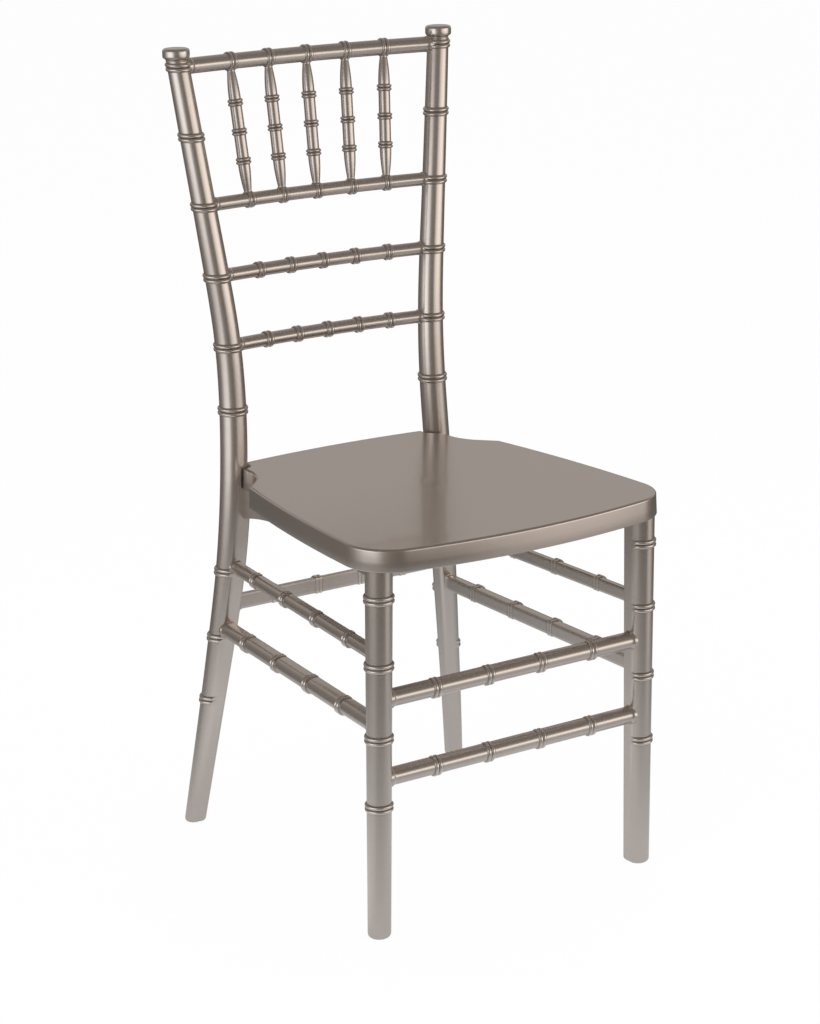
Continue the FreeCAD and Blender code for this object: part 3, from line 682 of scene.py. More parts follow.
def ring_height(board, source, along):
    """Twin beads around each evenly spaced mark, from 0 to 1, and their grooves."""
    first, step = source.other("First Ring"), source.other("Ring Step")
    half = source.other("Ring Height")
    index = board.node("ShaderNodeMath", {"operation": "ROUND"}, {0: (along - first) / step})
    index = index.high(0.0).low(source.other("Ring Count") - 1.0)
    offset = (along - (first + index * step)).size()
    v = (offset - half * 0.5) / (half * 0.5)
    bead = (1.0 - v * v).high(0.0) ** 0.5
    groove = (1.0 - offset.low((offset - half).size()) / (GROOVE_WIDTH * MM)).high(0.0)
    return bead, groove


def member_radius(source, along, ahead):
    """The plain radius: tapered toward both ends and flared where it meets a post."""
    near = along.low(ahead)
    start, end = source.other("Taper Start"), source.other("Taper End")
    grown = 1.0 - (1.0 - ((near - start) / (end - start)).kept()) ** SWELL_POWER
    thin = source.other("End Radius")
    straight = thin + (source.other("Radius") - thin) * grown
    flare_start, flare_end = source.other("Flare Start"), source.other("Flare End")
    left = 1.0 - (near - flare_start) / (flare_end - flare_start)
    return straight + source.other("Flare") * left.kept() ** FLARE_POWER


def section_reach(source, c, s, radius, bead):
    """Distance from the axis to the surface in the direction (c, s)."""
    soft = ((c + ROUND_SIDE) / ROUND_BLEND).kept()
    proud = source.other("Ring Proud") * (1.0 - soft) + source.other("Ridge Proud") * soft
    tall = radius + proud * bead
    back = source.other("Back") + (radius - source.other("Radius"))
    back = back + (source.other("Ring Proud") * bead) * (source.other("Back Power") < SQUARE_FROM)
    power = source.other("Back Power")
    square = ((c.size() / back) ** power + (s.size() / tall) ** power) ** (-1.0 / power)
    inner = c.math("GREATER_THAN", c, 0.0)
    return tall * (1.0 - inner) + square * inner


print("section rules are written")

# %% [markdown]
# Now the parts are wired together. The direction across the bar comes from its path and from
# an upright that each bar names, so a bar never twists on its way. The sweep's points are
# then set to their place in the section, and the helper values are removed again, because
# only "ring" and "groove" are of use to the finish.


# %% The finished bar tree
def bar_places(board, source, reach, c, s):
    """Where each point goes: out from the path by the section's reach."""
    way, spot = named(board, "way", "FLOAT_VECTOR"), named(board, "spot", "FLOAT_VECTOR")
    across = vector(board, "CROSS_PRODUCT", way, source.other("Upright"))
    across = vector(board, "NORMALIZE", across, (0, 0, 0))
    above = vector(board, "CROSS_PRODUCT", across, way)
    shift = vector(board, "ADD", scaled(board, across, c * reach), scaled(board, above, s * reach))
    return vector(board, "ADD", spot, shift)


def fill_bar_tree(tree):
    """Wire the whole bar: path, sweep, section, finish."""
    board = Board(tree)
    source = board.node("NodeGroupInput", {}, {}, "Geometry")
    mesh = swept_path(board, source)
    along, ahead = named(board, "along", "FLOAT"), named(board, "ahead", "FLOAT")
    turn = scaled(board, named(board, "turn", "FLOAT_VECTOR"), 1000.0)
    parts = board.node("ShaderNodeSeparateXYZ", {}, {0: turn})
    c, s = parts.other("X"), parts.other("Y")
    bead, groove = ring_height(board, source, along)
    radius = member_radius(source, along, ahead)
    reach = section_reach(source, c, s, radius, bead)
    place = bar_places(board, source, reach, c, s)
    mesh = board.node("GeometryNodeSetPosition", {}, {"Geometry": mesh, "Position": place})
    mesh = stored(board, mesh, "ring", "FLOAT", bead ** 4.0)
    mesh = stored(board, mesh, "groove", "FLOAT", groove)
    for name in ("along", "ahead", "way", "spot", "turn"):
        mesh = board.node("GeometryNodeRemoveAttribute", {}, {"Geometry": mesh, "Name": name})
    mesh = board.node("GeometryNodeRealizeInstances", {}, {"Geometry": mesh})
    mesh = board.node("GeometryNodeSetMaterial", {}, {"Geometry": mesh, "Material": source.other("Finish")})
    board.node("NodeGroupOutput", {}, {"Geometry": mesh})


fill_bar_tree(bars)
print("bar tree nodes:", len(bars.nodes))

# %% [markdown]
# To make a bar, its path is given as a few points, the tree runs on it once, and the result
# is kept as a plain mesh that replaces its solid. The modifier could stay live, but a plain
# mesh looks the same in every program. Its inputs are set by their identifiers, because two
# inputs may share a name.


# %% Making one bar
def input_ids(tree):
    """The identifier of each named input."""
    return {i.name: i.identifier for i in tree.interface.items_tree if i.in_out == "INPUT"}


BAR_IDS = input_ids(bars)
BAR_CREASE = 42.0


def bar(name, node, points, upright, sizes):
    """One ringed bar along points in millimetres, in place of a solid."""
    line = bpy.data.meshes.new(name)
    edges = [(i, i + 1) for i in range(len(points) - 1)]
    line.from_pydata([tuple(v * MM for v in p) for p in points], edges, [])
    piece = bpy.data.objects.new(name, line)
    scene.collection.objects.link(piece)
    modifier = piece.modifiers.new("bar", "NODES")
    modifier.node_group = bars
    for key, value in sizes.items():
        modifier[BAR_IDS[key]] = float(value)
    modifier[BAR_IDS["Upright"]] = upright
    modifier[BAR_IDS["Finish"]] = frame_finish
    bpy.context.view_layer.update()
    made = piece.evaluated_get(bpy.context.evaluated_depsgraph_get())
    solid = bpy.data.meshes.new_from_object(made)
    piece.modifiers.clear()
    piece.data = solid
    tidy_mesh(solid)
    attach(piece, "root")
    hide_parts(node)
    print(name, len(solid.polygons), "faces")
    return piece


def tidy_mesh(mesh):
    """Outward faces, smooth shading and crisp grooves."""
    bm = bmesh.new()
    bm.from_mesh(mesh)
    outward(bm)
    for face in bm.faces:
        face.smooth = True
    bm.to_mesh(mesh)
    bm.free()
    mesh.set_sharp_from_angle(angle=math.radians(BAR_CREASE))


print("inputs found:", len(BAR_IDS))

# %% [markdown]
# The four back rails bow backward on a circle of 1050 mm, so that they fit a sitter's back.
# Bending straight bars afterwards would squeeze their rings, so the path itself is the bow.
# The numbers of each rail are its height, its diameter and the spacing of its rings.

# %% Back rails
BACK_RADIUS = 1050.0
HOUSING = 5.0
BOW_STRETCH = 1.0004
RAILS = {
    "top_rail": (906.0, 18.0, 51.2),
    "spindle_rail": (750.0, 15.3, 46.4),
    "back_rail_upper": (668.8, 15.3, 43.7),
    "back_rail_lower": (588.0, 15.3, 41.7),
}


def bow(x):
    """How far a rail's ends stand forward of its middle."""
    return BACK_RADIUS - math.sqrt(BACK_RADIUS ** 2 - x * x)


def rail_point(node, x):
    """A point of a back rail's line, at a distance from the chair's middle."""
    z = RAILS[node][0]
    post_x, post_y, _ = post_at(z)
    return (x, post_y + bow(post_x) - bow(x), z)


for node, (z, diameter, spacing) in RAILS.items():
    post_x, post_y, post_r = post_at(z)
    turn = math.asin((post_x - post_r + HOUSING) / BACK_RADIUS)
    marks = [math.sin(turn * (i / 60.0 - 1.0)) * BACK_RADIUS for i in range(121)]
    r, step = diameter / 2.0 * MM, spacing * BOW_STRETCH
    sizes = {
        "Radius": r, "End Radius": r, "Back": r, "Back Power": 2.0,
        "First Ring": (turn * BACK_RADIUS - 2 * step) * MM, "Ring Step": step * MM, "Ring Count": 5,
        "Flare": 0.0010, "Flare Start": 0.0062, "Flare End": 0.0105,
    }
    bar("turned_" + node, node, [rail_point(node, x) for x in marks], (0, 0, 1), sizes)

# %% [markdown]
# Five slim spindles fill the crest. They swell from a neck at both ends and carry three twin
# rings, and they lean outward a little more the further they stand from the middle. An
# array would set them parallel, so each one runs between its own rings of the two rails.

# %% Spindles
SPINDLE_R, NECK_R = 6.8, 4.45
LOW_RING, HIGH_RING = 794.0, 860.0
NECK_LOW, NECK_HIGH = 3.5, 4.5


def spindle_ends(i):
    """Both ends of a spindle, a little outside the middles of its rails."""
    top = Vector(rail_point("top_rail", i * RAILS["top_rail"][2]))
    low = Vector(rail_point("spindle_rail", i * RAILS["spindle_rail"][2]))
    way = (top - low).normalized()
    return low + way * NECK_LOW, top - way * NECK_HIGH


for i in range(-2, 3):
    low, top = spindle_ends(i)
    scale = (top - low).length / (top.z - low.z)
    first, last = (LOW_RING - low.z) * scale, (HIGH_RING - low.z) * scale
    sizes = {
        "Radius": SPINDLE_R * MM, "End Radius": NECK_R * MM, "Back": SPINDLE_R * MM,
        "Taper Start": 0.0065, "Taper End": (first - 5.5) * MM,
        "Ring Height": 0.0038, "Ring Proud": 0.0020, "Ridge Proud": 0.0020, "First Ring": first * MM,
        "Ring Step": (last - first) / 2.0 * MM, "Ring Count": 3,
        "Flare": 0.0008, "Flare Start": 0.0038, "Flare End": 0.0072, "Step": 0.00035,
    }
    bar("turned_spindle_%d" % (i + 3), "spindle_%d" % (i + 3), [low, top], (0, 1, 0), sizes)

# %% [markdown]
# Stretchers tie the legs together. They are half-round outside and square inside, as moulded
# ones are. The square side always faces the middle of the chair, so each path runs the way
# that puts it there, which is simpler than turning a finished bar.

# %% Front and rear stretchers
SQUARE = 9.0


def stretcher_sizes(radius, back, first, step, flare=1.5):
    """Sizes of a stretcher in millimetres, as the bar tree takes them."""
    return {
        "Radius": radius * MM, "End Radius": radius * MM, "Back": back * MM, "Back Power": SQUARE,
        "Ridge Proud": 0.0011, "First Ring": first * MM, "Ring Step": step * MM, "Ring Count": 4,
        "Flare": flare * MM, "Flare Start": 0.005, "Flare End": 0.0095,
    }


for word, z in (("upper", 274.7), ("lower", 184.6)):
    x, y, r = leg_at(z)
    half = x - r + HOUSING
    ends = [(half, y + 1.2, z), (-half, y + 1.2, z)]
    bar("turned_front_stretcher_" + word, "front_stretcher_" + word, ends, (0, 0, 1),
        stretcher_sizes(9.8, 4.0, half - 103.2, 68.8))

x, y, r = post_at(281.0)
half = x - r + HOUSING
bar("turned_rear_stretcher", "rear_stretcher", [(-half, y - 4.0, 281.0), (half, y - 4.0, 281.0)], (0, 0, 1),
    stretcher_sizes(9.5, 4.0, half - 89.3, 59.53))

# %% [markdown]
# The side stretchers rise a little toward the rear, and the two levels differ in size. The
# numbers are the heights at the leg and at the post, the radius, how far the line stands
# inside the leg's middle, the depth of the square side, and where the first ring is. The left
# pair is the right pair with its ends mirrored, which keeps all faces pointing outward.

# %% Side stretchers
SIDE_STEP = 76.2
SIDE_LINES = {
    "upper": (322.6, 328.2, 7.6, 1.8, 5.4, -118.0),
    "lower": (243.6, 250.6, 8.9, 0.5, 8.5, -107.0),
}


def side_line(front_z, rear_z, inset):
    """Both ends of a right-hand stretcher, 5 mm inside the leg and the post."""
    lx, ly, lr = leg_at(front_z)
    px, py, pr = post_at(rear_z)
    a, b = Vector((lx - inset, ly, front_z)), Vector((px - inset, py, rear_z))
    way = (b - a).normalized()
    return a + way * (lr - HOUSING), b - way * (pr - HOUSING), way


for word, (front_z, rear_z, radius, inset, back, first_y) in SIDE_LINES.items():
    start, end, way = side_line(front_z, rear_z, inset)
    first = (first_y - start.y) / way.y
    length = (end - start).length
    from_rear = length - first - 3 * SIDE_STEP
    bar("turned_side_stretcher_right_" + word, "side_stretcher_right_" + word, [end, start], (0, 0, 1),
        stretcher_sizes(radius, back, from_rear, SIDE_STEP, 1.2))
    mirrored_ends = [Vector((-p.x, p.y, p.z)) for p in (start, end)]
    bar("turned_side_stretcher_left_" + word, "side_stretcher_left_" + word, mirrored_ends, (0, 0, 1),
        stretcher_sizes(radius, back, first, SIDE_STEP, 1.2))

# %% [markdown]
# A knob closes each post: a thin foot, a swelling underside, an upright band and a flat top
# with a soft edge. The screw modifier could turn the outline, but the skin from above does
# it in three lines, closed at both ends.

# %% Finials
KNOB = [
    (12.3, 912.7), (11.9, 913.3), (11.9, 914.1), (12.5, 914.9), (13.6, 915.6), (14.6, 916.4), (15.15, 917.3),
    (15.3, 918.4), (15.3, 923.9), (15.15, 924.9), (14.6, 925.9), (13.7, 926.6), (12.4, 927.0), (11.6, 927.1),
]
KNOB_MIDDLE = POST_TOP + 7.2


def turned(name, profile, centre, material, count=96):
    """A solid of revolution from (radius, height) pairs."""
    outlines = []
    for r, z in profile:
        angles = [2 * math.pi * i / count for i in range(count)]
        outlines.append([(centre[0] + r * math.cos(a), centre[1] + r * math.sin(a), z) for a in angles])
    blank = [[0.0] * count for _ in profile]
    return skin(name, outlines, blank, blank, material)


knob_x, knob_y = post_value(1, KNOB_MIDDLE), post_value(2, KNOB_MIDDLE)
for word, side in (("right", 1), ("left", -1)):
    knob = turned("turned_finial_" + word, KNOB, (side * knob_x, knob_y), knob_finish)
    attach(knob, "root")
    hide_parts("finial_" + word)
print("knob centre:", round(knob_x, 1), round(knob_y, 1))

# %% [markdown]
# The seat is one moulded shell. Its plan has a bowed front, wide round front corners, and a
# scoop and a notch at each rear post. A box cut by booleans could get there, but its edges
# would be hard to inset cleanly. So the plan is walked once as a line of arcs and straight
# stretches, for which these four helpers are enough.


# %% Arcs and lines in plan
SAME_PLACE = 0.4


def arc_through(a, b, c, count):
    """Points on the circle through three plan points, without the last one."""
    ax, ay, bx, by, cx, cy = *a, *b, *c
    aa, bb, cc = ax * ax + ay * ay, bx * bx + by * by, cx * cx + cy * cy
    d = 2 * (ax * (by - cy) + bx * (cy - ay) + cx * (ay - by))
    ux = (aa * (by - cy) + bb * (cy - ay) + cc * (ay - by)) / d
    uy = (aa * (cx - bx) + bb * (ax - cx) + cc * (bx - ax)) / d
    radius = math.hypot(ax - ux, ay - uy)
    t0, t1, t2 = [math.atan2(p[1] - uy, p[0] - ux) for p in (a, b, c)]
    span = (t2 - t0) % (2 * math.pi)
    if (t1 - t0) % (2 * math.pi) > span:
        span -= 2 * math.pi
    turns = [t0 + span * i / count for i in range(count)]
    return [(ux + radius * math.cos(t), uy + radius * math.sin(t)) for t in turns]


def line_to(a, b, count):
    """Evenly spaced points from a toward b, without the last one."""
    return [(a[0] + (b[0] - a[0]) * i / count, a[1] + (b[1] - a[1]) * i / count) for i in range(count)]


def touch_of(points, first, last, p):
    """Nearest place to p on a stretch of a line, and the index where its edge starts."""
    best = None
    for i in range(first, last):
        a, b = Vector(points[i]), Vector(points[i + 1])
        t = min(max((p - a).dot(b - a) / (b - a).length_squared, 0.0), 1.0)
        place = a + (b - a) * t
        if best is None or (p - place).length < best[0]:
            best = ((p - place).length, place, i)
    return best[1], best[2]


def rounded(points, corner, radius, steps):
    """Replace the sharp corner nearest to a point by an arc that touches both sides."""
    k = min(range(len(points)), key=lambda i: math.dist(points[i], corner))
    apex = Vector(points[k])
    before = (Vector(points[k - 6]) - apex).normalized()
    after = (Vector(points[(k + 6) % len(points)]) - apex).normalized()
    centre = apex + (before + after).normalized() * (radius / math.sin(before.angle(after) / 2.0))
    sides = ((max(k - 60, 0), k), (k, min(k + 60, len(points) - 1)))
    for _ in range(60):
        for first, last in sides:
            place, _edge = touch_of(points, first, last, centre)
            centre = place + (centre - place).normalized() * radius
    (p0, i0), (p1, i1) = (touch_of(points, first, last, centre) for first, last in sides)
    middle = centre + (apex - centre).normalized() * radius
    bend = arc_through(tuple(p0), tuple(middle), tuple(p1), steps) + [tuple(p1)]
    head = [p for p in points[:i0 + 1] if math.dist(p, p0) > SAME_PLACE]
    tail = [p for p in points[i1 + 1:] if math.dist(p, p1) > SAME_PLACE]
    return head + bend + tail


print("middle of a quarter turn:", [round(v, 3) for v in arc_through((1, 0), (0.6, 0.8), (0, 1), 2)[1]])

# %% [markdown]
# The walk starts at the middle of the rear edge, which follows the bow of the back. It goes
# round the post in a notch, over the scoop to the shoulder, along the side and back along
# the front. Then the shoulder and the front corner are rounded. Only the right half is
# walked; mirroring its points makes both sides match exactly.


# %% Outline of the seat
SEAT_UNDER = 423.0
SEAT_REAR = 190.5
POST_GAP, WALL_INSET = 18.4, 2.2
SCOOP_START, SCOOP_MIDDLE, SCOOP_END = 146.0, (141.9, 124.5), (151.5, 107.8)
SHOULDER, SIDE_MIDDLE = (171.6, 86.4), (188.6, -39.0)
FRONT_MIDDLE, FRONT_BOW, FRONT_HALF = -235.0, 6.3e-4, 197.6
SHOULDER_R, FRONT_CORNER_R = 5.0, 55.0


def front_edge(x):
    """A point of the bowed front edge."""
    return (x, FRONT_MIDDLE + FRONT_BOW * x * x)


def rear_edge(x):
    """A point of the rear edge."""
    return (x, SEAT_REAR - bow(x))


def seat_half():
    """The right half of the outline, from the rear middle to the front middle."""
    post_x, post_y, _ = post_at(SEAT_UNDER + 12)
    inner, wall = post_x - POST_GAP, post_x - WALL_INSET
    slant = POST_GAP * math.sqrt(0.5)
    notch = (wall, post_y - math.sqrt(POST_GAP ** 2 - WALL_INSET ** 2))
    line = arc_through(rear_edge(0.0), rear_edge(inner / 2), rear_edge(inner), 40)
    line += line_to(rear_edge(inner), (inner, post_y), 8)
    line += arc_through((inner, post_y), (post_x - slant, post_y - slant), notch, 20)
    line += line_to(notch, (wall, SCOOP_START), 6)
    line += arc_through((wall, SCOOP_START), SCOOP_MIDDLE, SCOOP_END, 20)
    line += line_to(SCOOP_END, SHOULDER, 16)
    line += arc_through(SHOULDER, SIDE_MIDDLE, front_edge(FRONT_HALF), 120)
    line += [front_edge(FRONT_HALF * (1 - i / 80.0)) for i in range(81)]
    line = rounded(line, SHOULDER, SHOULDER_R, 6)
    return rounded(line, front_edge(FRONT_HALF), FRONT_CORNER_R, 32)


half_outline = seat_half()
seat_line = half_outline + [(-x, y) for x, y in reversed(half_outline[1:-1])]
print("seat outline points:", len(seat_line))

# %% [markdown]
# The shell's walls and its rounded edge need the same outline a few millimetres further in.
# Scaling it would thin the wall at the notches, so each point moves square to its own edges.
# Beside a sharp inner corner such points would cross over, so there they all join the
# corner's own point.


# %% Outline moved inward
CHECKED_EDGES, JOINED_POINTS = 14, 7
SHARP_TURN = 0.7


def edge_distance(p, points, i):
    """Distance from a point to one edge of the outline."""
    a = Vector(points[i % len(points)])
    way = Vector(points[(i + 1) % len(points)]) - a
    t = min(max((p - a).dot(way) / way.length_squared, 0.0), 1.0)
    return (p - a - way * t).length


def straight_at(points, i):
    """True where the outline runs on without a sharp corner."""
    n = len(points)
    a, b, c = (Vector(points[(i + k) % n]) for k in (-1, 0, 1))
    return (b - a).angle(c - b) < SHARP_TURN


def moved_in(points, i, depth):
    """One point of the outline, moved square to the two edges that meet in it."""
    a, b, c = Vector(points[i - 1]), Vector(points[i]), Vector(points[(i + 1) % len(points)])
    way_in, way_out = (b - a).normalized(), (c - b).normalized()
    both = Vector((way_in.y, -way_in.x)) + Vector((way_out.y, -way_out.x))
    return b + both * (depth / max(both.length_squared / 2.0, 0.5))


def inset_line(points, depth):
    """The whole outline moved inward by a depth."""
    n = len(points)
    out = [moved_in(points, i, depth) for i in range(n)]
    for i in range(n):
        near = min(edge_distance(out[i], points, i + k) for k in range(-CHECKED_EDGES, CHECKED_EDGES + 1))
        if near < abs(depth) - 0.05:
            steps = range(-JOINED_POINTS, JOINED_POINTS + 1)
            sharp = min(steps, key=lambda k: abs(k) + 99 * straight_at(points, i + k))
            out[i] = out[(i + sharp) % n]
    return out


def turn_of(points):
    """Positive where the outline runs against the clock, seen from above."""
    return sum(p[0] * q[1] - q[0] * p[1] for p, q in zip(points, points[1:] + points[:1]))


inward_sign = -1.0 if turn_of(seat_line) > 0 else 1.0
print("inward sign:", inward_sign)

# %% [markdown]
# Underneath, four bosses take the seat screws, and the front corners are solid where the
# legs' tenons go in. They could be pieces of their own, but on the real seat they are moulded
# with it, so they are closed prisms in the seat's own mesh.


# %% Bosses and solid corners under the seat
BOSSES = ((124.0, -168.0), (-124.0, -168.0), (96.0, 152.0), (-96.0, 152.0))
BOSS_R, BOSS_SIDES = 6.0, 40
PRISM_LOW, PRISM_HIGH = 423.05, 443.0
PAD_X, PAD_Y = 145.0, -168.0


def add_prism(bm, outline):
    """A closed upright prism over a plan outline."""
    bottom = [bm.verts.new(Vector((x, y, PRISM_LOW)) * MM) for x, y in outline]
    top = [bm.verts.new(Vector((x, y, PRISM_HIGH)) * MM) for x, y in outline]
    bm.faces.new(bottom)
    bm.faces.new(top)
    for i in range(len(outline)):
        j = (i + 1) % len(outline)
        bm.faces.new((bottom[i], bottom[j], top[j], top[i]))


def corner_pad(line, side):
    """Plan of the solid corner over a front leg: the wall's line, closed by two straight cuts."""
    curve = [p for p in line if side * p.x > PAD_X and p.y < PAD_Y]
    curve.sort(key=lambda p: math.atan2(p.y - PAD_Y, side * p.x - PAD_X))
    start, end = (side * PAD_X, curve[0].y), (curve[-1].x, PAD_Y)
    return [start] + [(p.x, p.y) for p in curve] + [end, (side * PAD_X, PAD_Y)]


def add_underside(mesh, line):
    """Four screw bosses and two solid corners inside the shell."""
    bm = bmesh.new()
    bm.from_mesh(mesh)
    turns = [2 * math.pi * i / BOSS_SIDES for i in range(BOSS_SIDES)]
    for x, y in BOSSES:
        add_prism(bm, [(x + BOSS_R * math.cos(t), y + BOSS_R * math.sin(t)) for t in turns])
    for side in (1, -1):
        add_prism(bm, corner_pad(line, side))
    bmesh.ops.recalc_face_normals(bm, faces=bm.faces)
    bm.to_mesh(mesh)
    bm.free()


print("bosses:", len(BOSSES))

# %% [markdown]
# The shell is the same outline at eighteen depths and heights: the pocket's ceiling, the
# wall down to its lower edge, the skirt with its slight draft, and the soft upper edge that
# catches a thin line of light. Solidify would give an even wall too, but not this edge.

# %% Seat shell
SEAT_PROFILE = [
    (6.6, 442.0), (6.0, 441.4), (6.0, 424.0), (5.6, 423.3), (5.0, 423.0), (1.0, 423.0), (0.3, 423.3),
    (0.0, 424.0), (0.35, 434.0), (0.7, 445.0), (0.76, 445.6), (0.95, 446.2), (1.27, 446.75), (1.7, 447.2),
    (2.25, 447.6), (2.9, 447.85), (3.7, 448.0), (5.0, 448.0),
]
PAD_INSET = 5.0
SEAT_CREASE = 50.0

shell_loops = []
for depth, z in SEAT_PROFILE:
    shell_loops.append([(p.x, p.y, z) for p in inset_line(seat_line, depth * inward_sign)])
nothing = [[0.0] * len(seat_line) for _ in SEAT_PROFILE]
seat = skin("moulded_seat", shell_loops, nothing, nothing, seat_finish, SEAT_CREASE)
add_underside(seat.data, inset_line(seat_line, PAD_INSET * inward_sign))
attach(seat, "root")
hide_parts("seat_panel")
print("seat faces:", len(seat.data.polygons))

# %% [markdown]
# The boards, blocks, screws and glides have plain shapes that the solids already give
# exactly. Copying them would add nothing, so they stay and only get their finish.

# %% Finishes of the solids that stay
FINISHES = {
    "seat_rail_front": board_finish, "seat_rail_rear": board_finish,
    "seat_rail_right": board_finish, "seat_rail_left": board_finish,
    "corner_block_front_right": block_finish, "corner_block_front_left": block_finish,
    "corner_block_rear_right": block_finish, "corner_block_rear_left": block_finish,
    "block_screws": screw_finish, "seat_screws": screw_finish, "foot_glides": glide_finish,
}
for node, finish in FINISHES.items():
    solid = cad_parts[node]
    solid.data.materials.clear()
    solid.data.materials.append(finish)
print("solids that stay:", len(FINISHES))

# %% [markdown]
# The chair stands on pale paper. To the camera the paper is nearly all its own light, so it
# comes out white without any more light on the chair, and the small rest of plain paper
# keeps the chair's shadow. Mirror rays pass it by, because the sheet further down stands in
# for it there.

# %% Floor
PAPER = (0.86, 0.86, 0.86, 1)
WHITE = (1, 1, 1, 1)
OWN_LIGHT = 0.97
FLOOR_REACH = 90
floor_mesh = bpy.data.meshes.new("studio_floor")
floor_corners = [(x * FLOOR_REACH, y * FLOOR_REACH, 0) for x, y in ((-1, -1), (1, -1), (1, 1), (-1, 1))]
floor_mesh.from_pydata(floor_corners, [], [(0, 1, 2, 3)])
pale, board = new_material("pale_floor")
diffuse = board.node("ShaderNodeBsdfDiffuse", {}, {"Color": PAPER})
glow = board.node("ShaderNodeEmission", {}, {"Color": WHITE, "Strength": 1.0})
rays = board.node("ShaderNodeLightPath", {}, {}, "Is Camera Ray")
both = board.node("ShaderNodeMixShader", {}, {0: rays * OWN_LIGHT, 1: diffuse, 2: glow})
board.node("ShaderNodeOutputMaterial", {}, {"Surface": both})
floor = new_piece("studio_floor", floor_mesh, pale)
floor.visible_glossy = False
print("floor corners:", floor_corners)

# %% [markdown]
# Behind everything is the world. It could be one white dome, but that would light the chair
# far too strongly. So it is white only to the camera, to mirrors and to clear things, and a
# soft cool grey as a light.

# %% World
world = bpy.data.worlds.new("studio")
scene.world = world
world.use_nodes = True
world.node_tree.nodes.clear()
board = Board(world.node_tree)
rays = board.node("ShaderNodeLightPath", {}, {}, "Is Camera Ray")
seen = rays.high(rays.other("Is Glossy Ray")).high(rays.other("Is Transmission Ray"))
fill = board.node("ShaderNodeBackground", {}, {"Color": (0.95, 0.97, 1.0, 1), "Strength": 0.55})
white = board.node("ShaderNodeBackground", {}, {"Color": WHITE, "Strength": 1.0})
sky = board.node("ShaderNodeMixShader", {}, {0: seen, 1: fill, 2: white})
board.node("ShaderNodeOutputWorld", {}, {"Surface": sky})
print("world nodes:", len(world.node_tree.nodes))

# %% [markdown]
# A shiny chair looks like what it mirrors. In a studio that is a set of bright panels with
# dark gaps between them, and here it is a wide globe that only mirror rays see, whose
# brightness changes with direction alone. The lists give a level at each angle: degrees to
# the right of the camera's side, and degrees above the horizon. A tall cool panel stands
# left of the camera, and a low warm one to the right, which lights the long rails. Below
# the horizon the left panel stops, and so upright legs stay calm while leaning posts shine.

# %% Levels of the studio
AROUND = [
    (-180, 0.12), (-140, 0.12), (-112, 0.17), (-90, 0.36), (-72, 1.15), (-56, 1.75), (-32, 1.65), (-18, 0.52),
    (-4, 0.24), (12, 0.17), (34, 0.14), (46, 0.20), (58, 0.52), (68, 0.62), (82, 0.64), (96, 0.40),
    (108, 0.17), (130, 0.12), (180, 0.12),
]
AROUND_LOW = [
    (-180, 0.12), (-140, 0.12), (-112, 0.16), (-90, 0.20), (-60, 0.30), (-32, 0.30), (-10, 0.18), (12, 0.14),
    (40, 0.12), (50, 0.18), (60, 0.52), (70, 0.66), (84, 0.66), (96, 0.42), (108, 0.17), (130, 0.12),
    (180, 0.12),
]
ABOVE_FRONT = [(0, 0.22), (40, 0.18), (70, 0.15), (90, 0.14)]
ABOVE_BACK = [(0, 0.22), (8, 0.37), (14, 0.46), (30, 0.44), (50, 0.24), (90, 0.15)]
BRIGHTEST = 2.5
GLOBE_RADIUS, GLOBE_MIDDLE = 4.5, 0.5


def globe(name, rows, count):
    """A globe of quads round the chair with a small hole at each pole."""
    verts, faces = [], []
    for k in range(rows + 1):
        up = math.radians(-89.0 + 178.0 * k / rows)
        for i in range(count):
            turn = 2 * math.pi * i / count
            x, y = math.cos(up) * math.cos(turn), math.cos(up) * math.sin(turn)
            verts.append((x * GLOBE_RADIUS, y * GLOBE_RADIUS, math.sin(up) * GLOBE_RADIUS + GLOBE_MIDDLE))
    for k in range(rows):
        for i in range(count):
            j = (i + 1) % count
            faces.append((k * count + i, (k + 1) * count + i, (k + 1) * count + j, k * count + j))
    mesh = bpy.data.meshes.new(name)
    mesh.from_pydata(verts, [], faces)
    return mesh


print("levels around and above:", len(AROUND), len(ABOVE_FRONT))

# %% [markdown]
# A ramp reads a level off a list, and a smooth step fades a panel in or out. Directions come
# from the globe's own coordinates, turned so that zero is the camera's side. They belong to
# the studio and not to the picture, so the streaks stay right when the camera moves.


# %% Angles and levels as expressions
def level_ramp(board, share, stops, low, high):
    """Brightness from a list of (degrees, level)."""
    places = [((a - low) / (high - low), v / BRIGHTEST) for a, v in stops]
    return board.node("ShaderNodeValToRGB", {"stops": places}, {"Fac": share}) * BRIGHTEST


def faded(board, value, start, end):
    """0 before start and 1 after end, in degrees."""
    settings = {"interpolation_type": "SMOOTHSTEP"}
    values = {0: value, 1: math.radians(start), 2: math.radians(end)}
    return board.node("ShaderNodeMapRange", settings, values)


def held(board, value, rise, fall):
    """1 between two slopes, each from its start to its end in degrees."""
    return faded(board, value, *rise) * (1.0 - faded(board, value, *fall))


def directions(board):
    """Angle round the chair from the camera's side, angle above the horizon, and distance."""
    place = board.node("ShaderNodeTexCoord", {}, {}, "Object")
    parts = board.node("ShaderNodeSeparateXYZ", {}, {0: place})
    x, y, z = parts.other("X"), parts.other("Y"), parts.other("Z")
    sin_a, cos_a = math.sin(AZIMUTH), math.cos(AZIMUTH)
    toward, aside = x * sin_a - y * cos_a, x * cos_a + y * sin_a
    distance = (x * x + y * y) ** 0.5
    return x.math("ARCTAN2", aside, toward), x.math("ARCTAN2", z - GLOBE_MIDDLE, distance), distance


print("studio helpers are ready")

# %% [markdown]
# The panels are one material. Lamps behind cloth would do the same in a real studio, but they
# make noise in a render, while a glowing surface that only mirror rays meet does not. The
# level goes into the colour of the glow, and the tint turns from cool on the left to warm on
# the right, warmer still where it is dark, as in the photo.


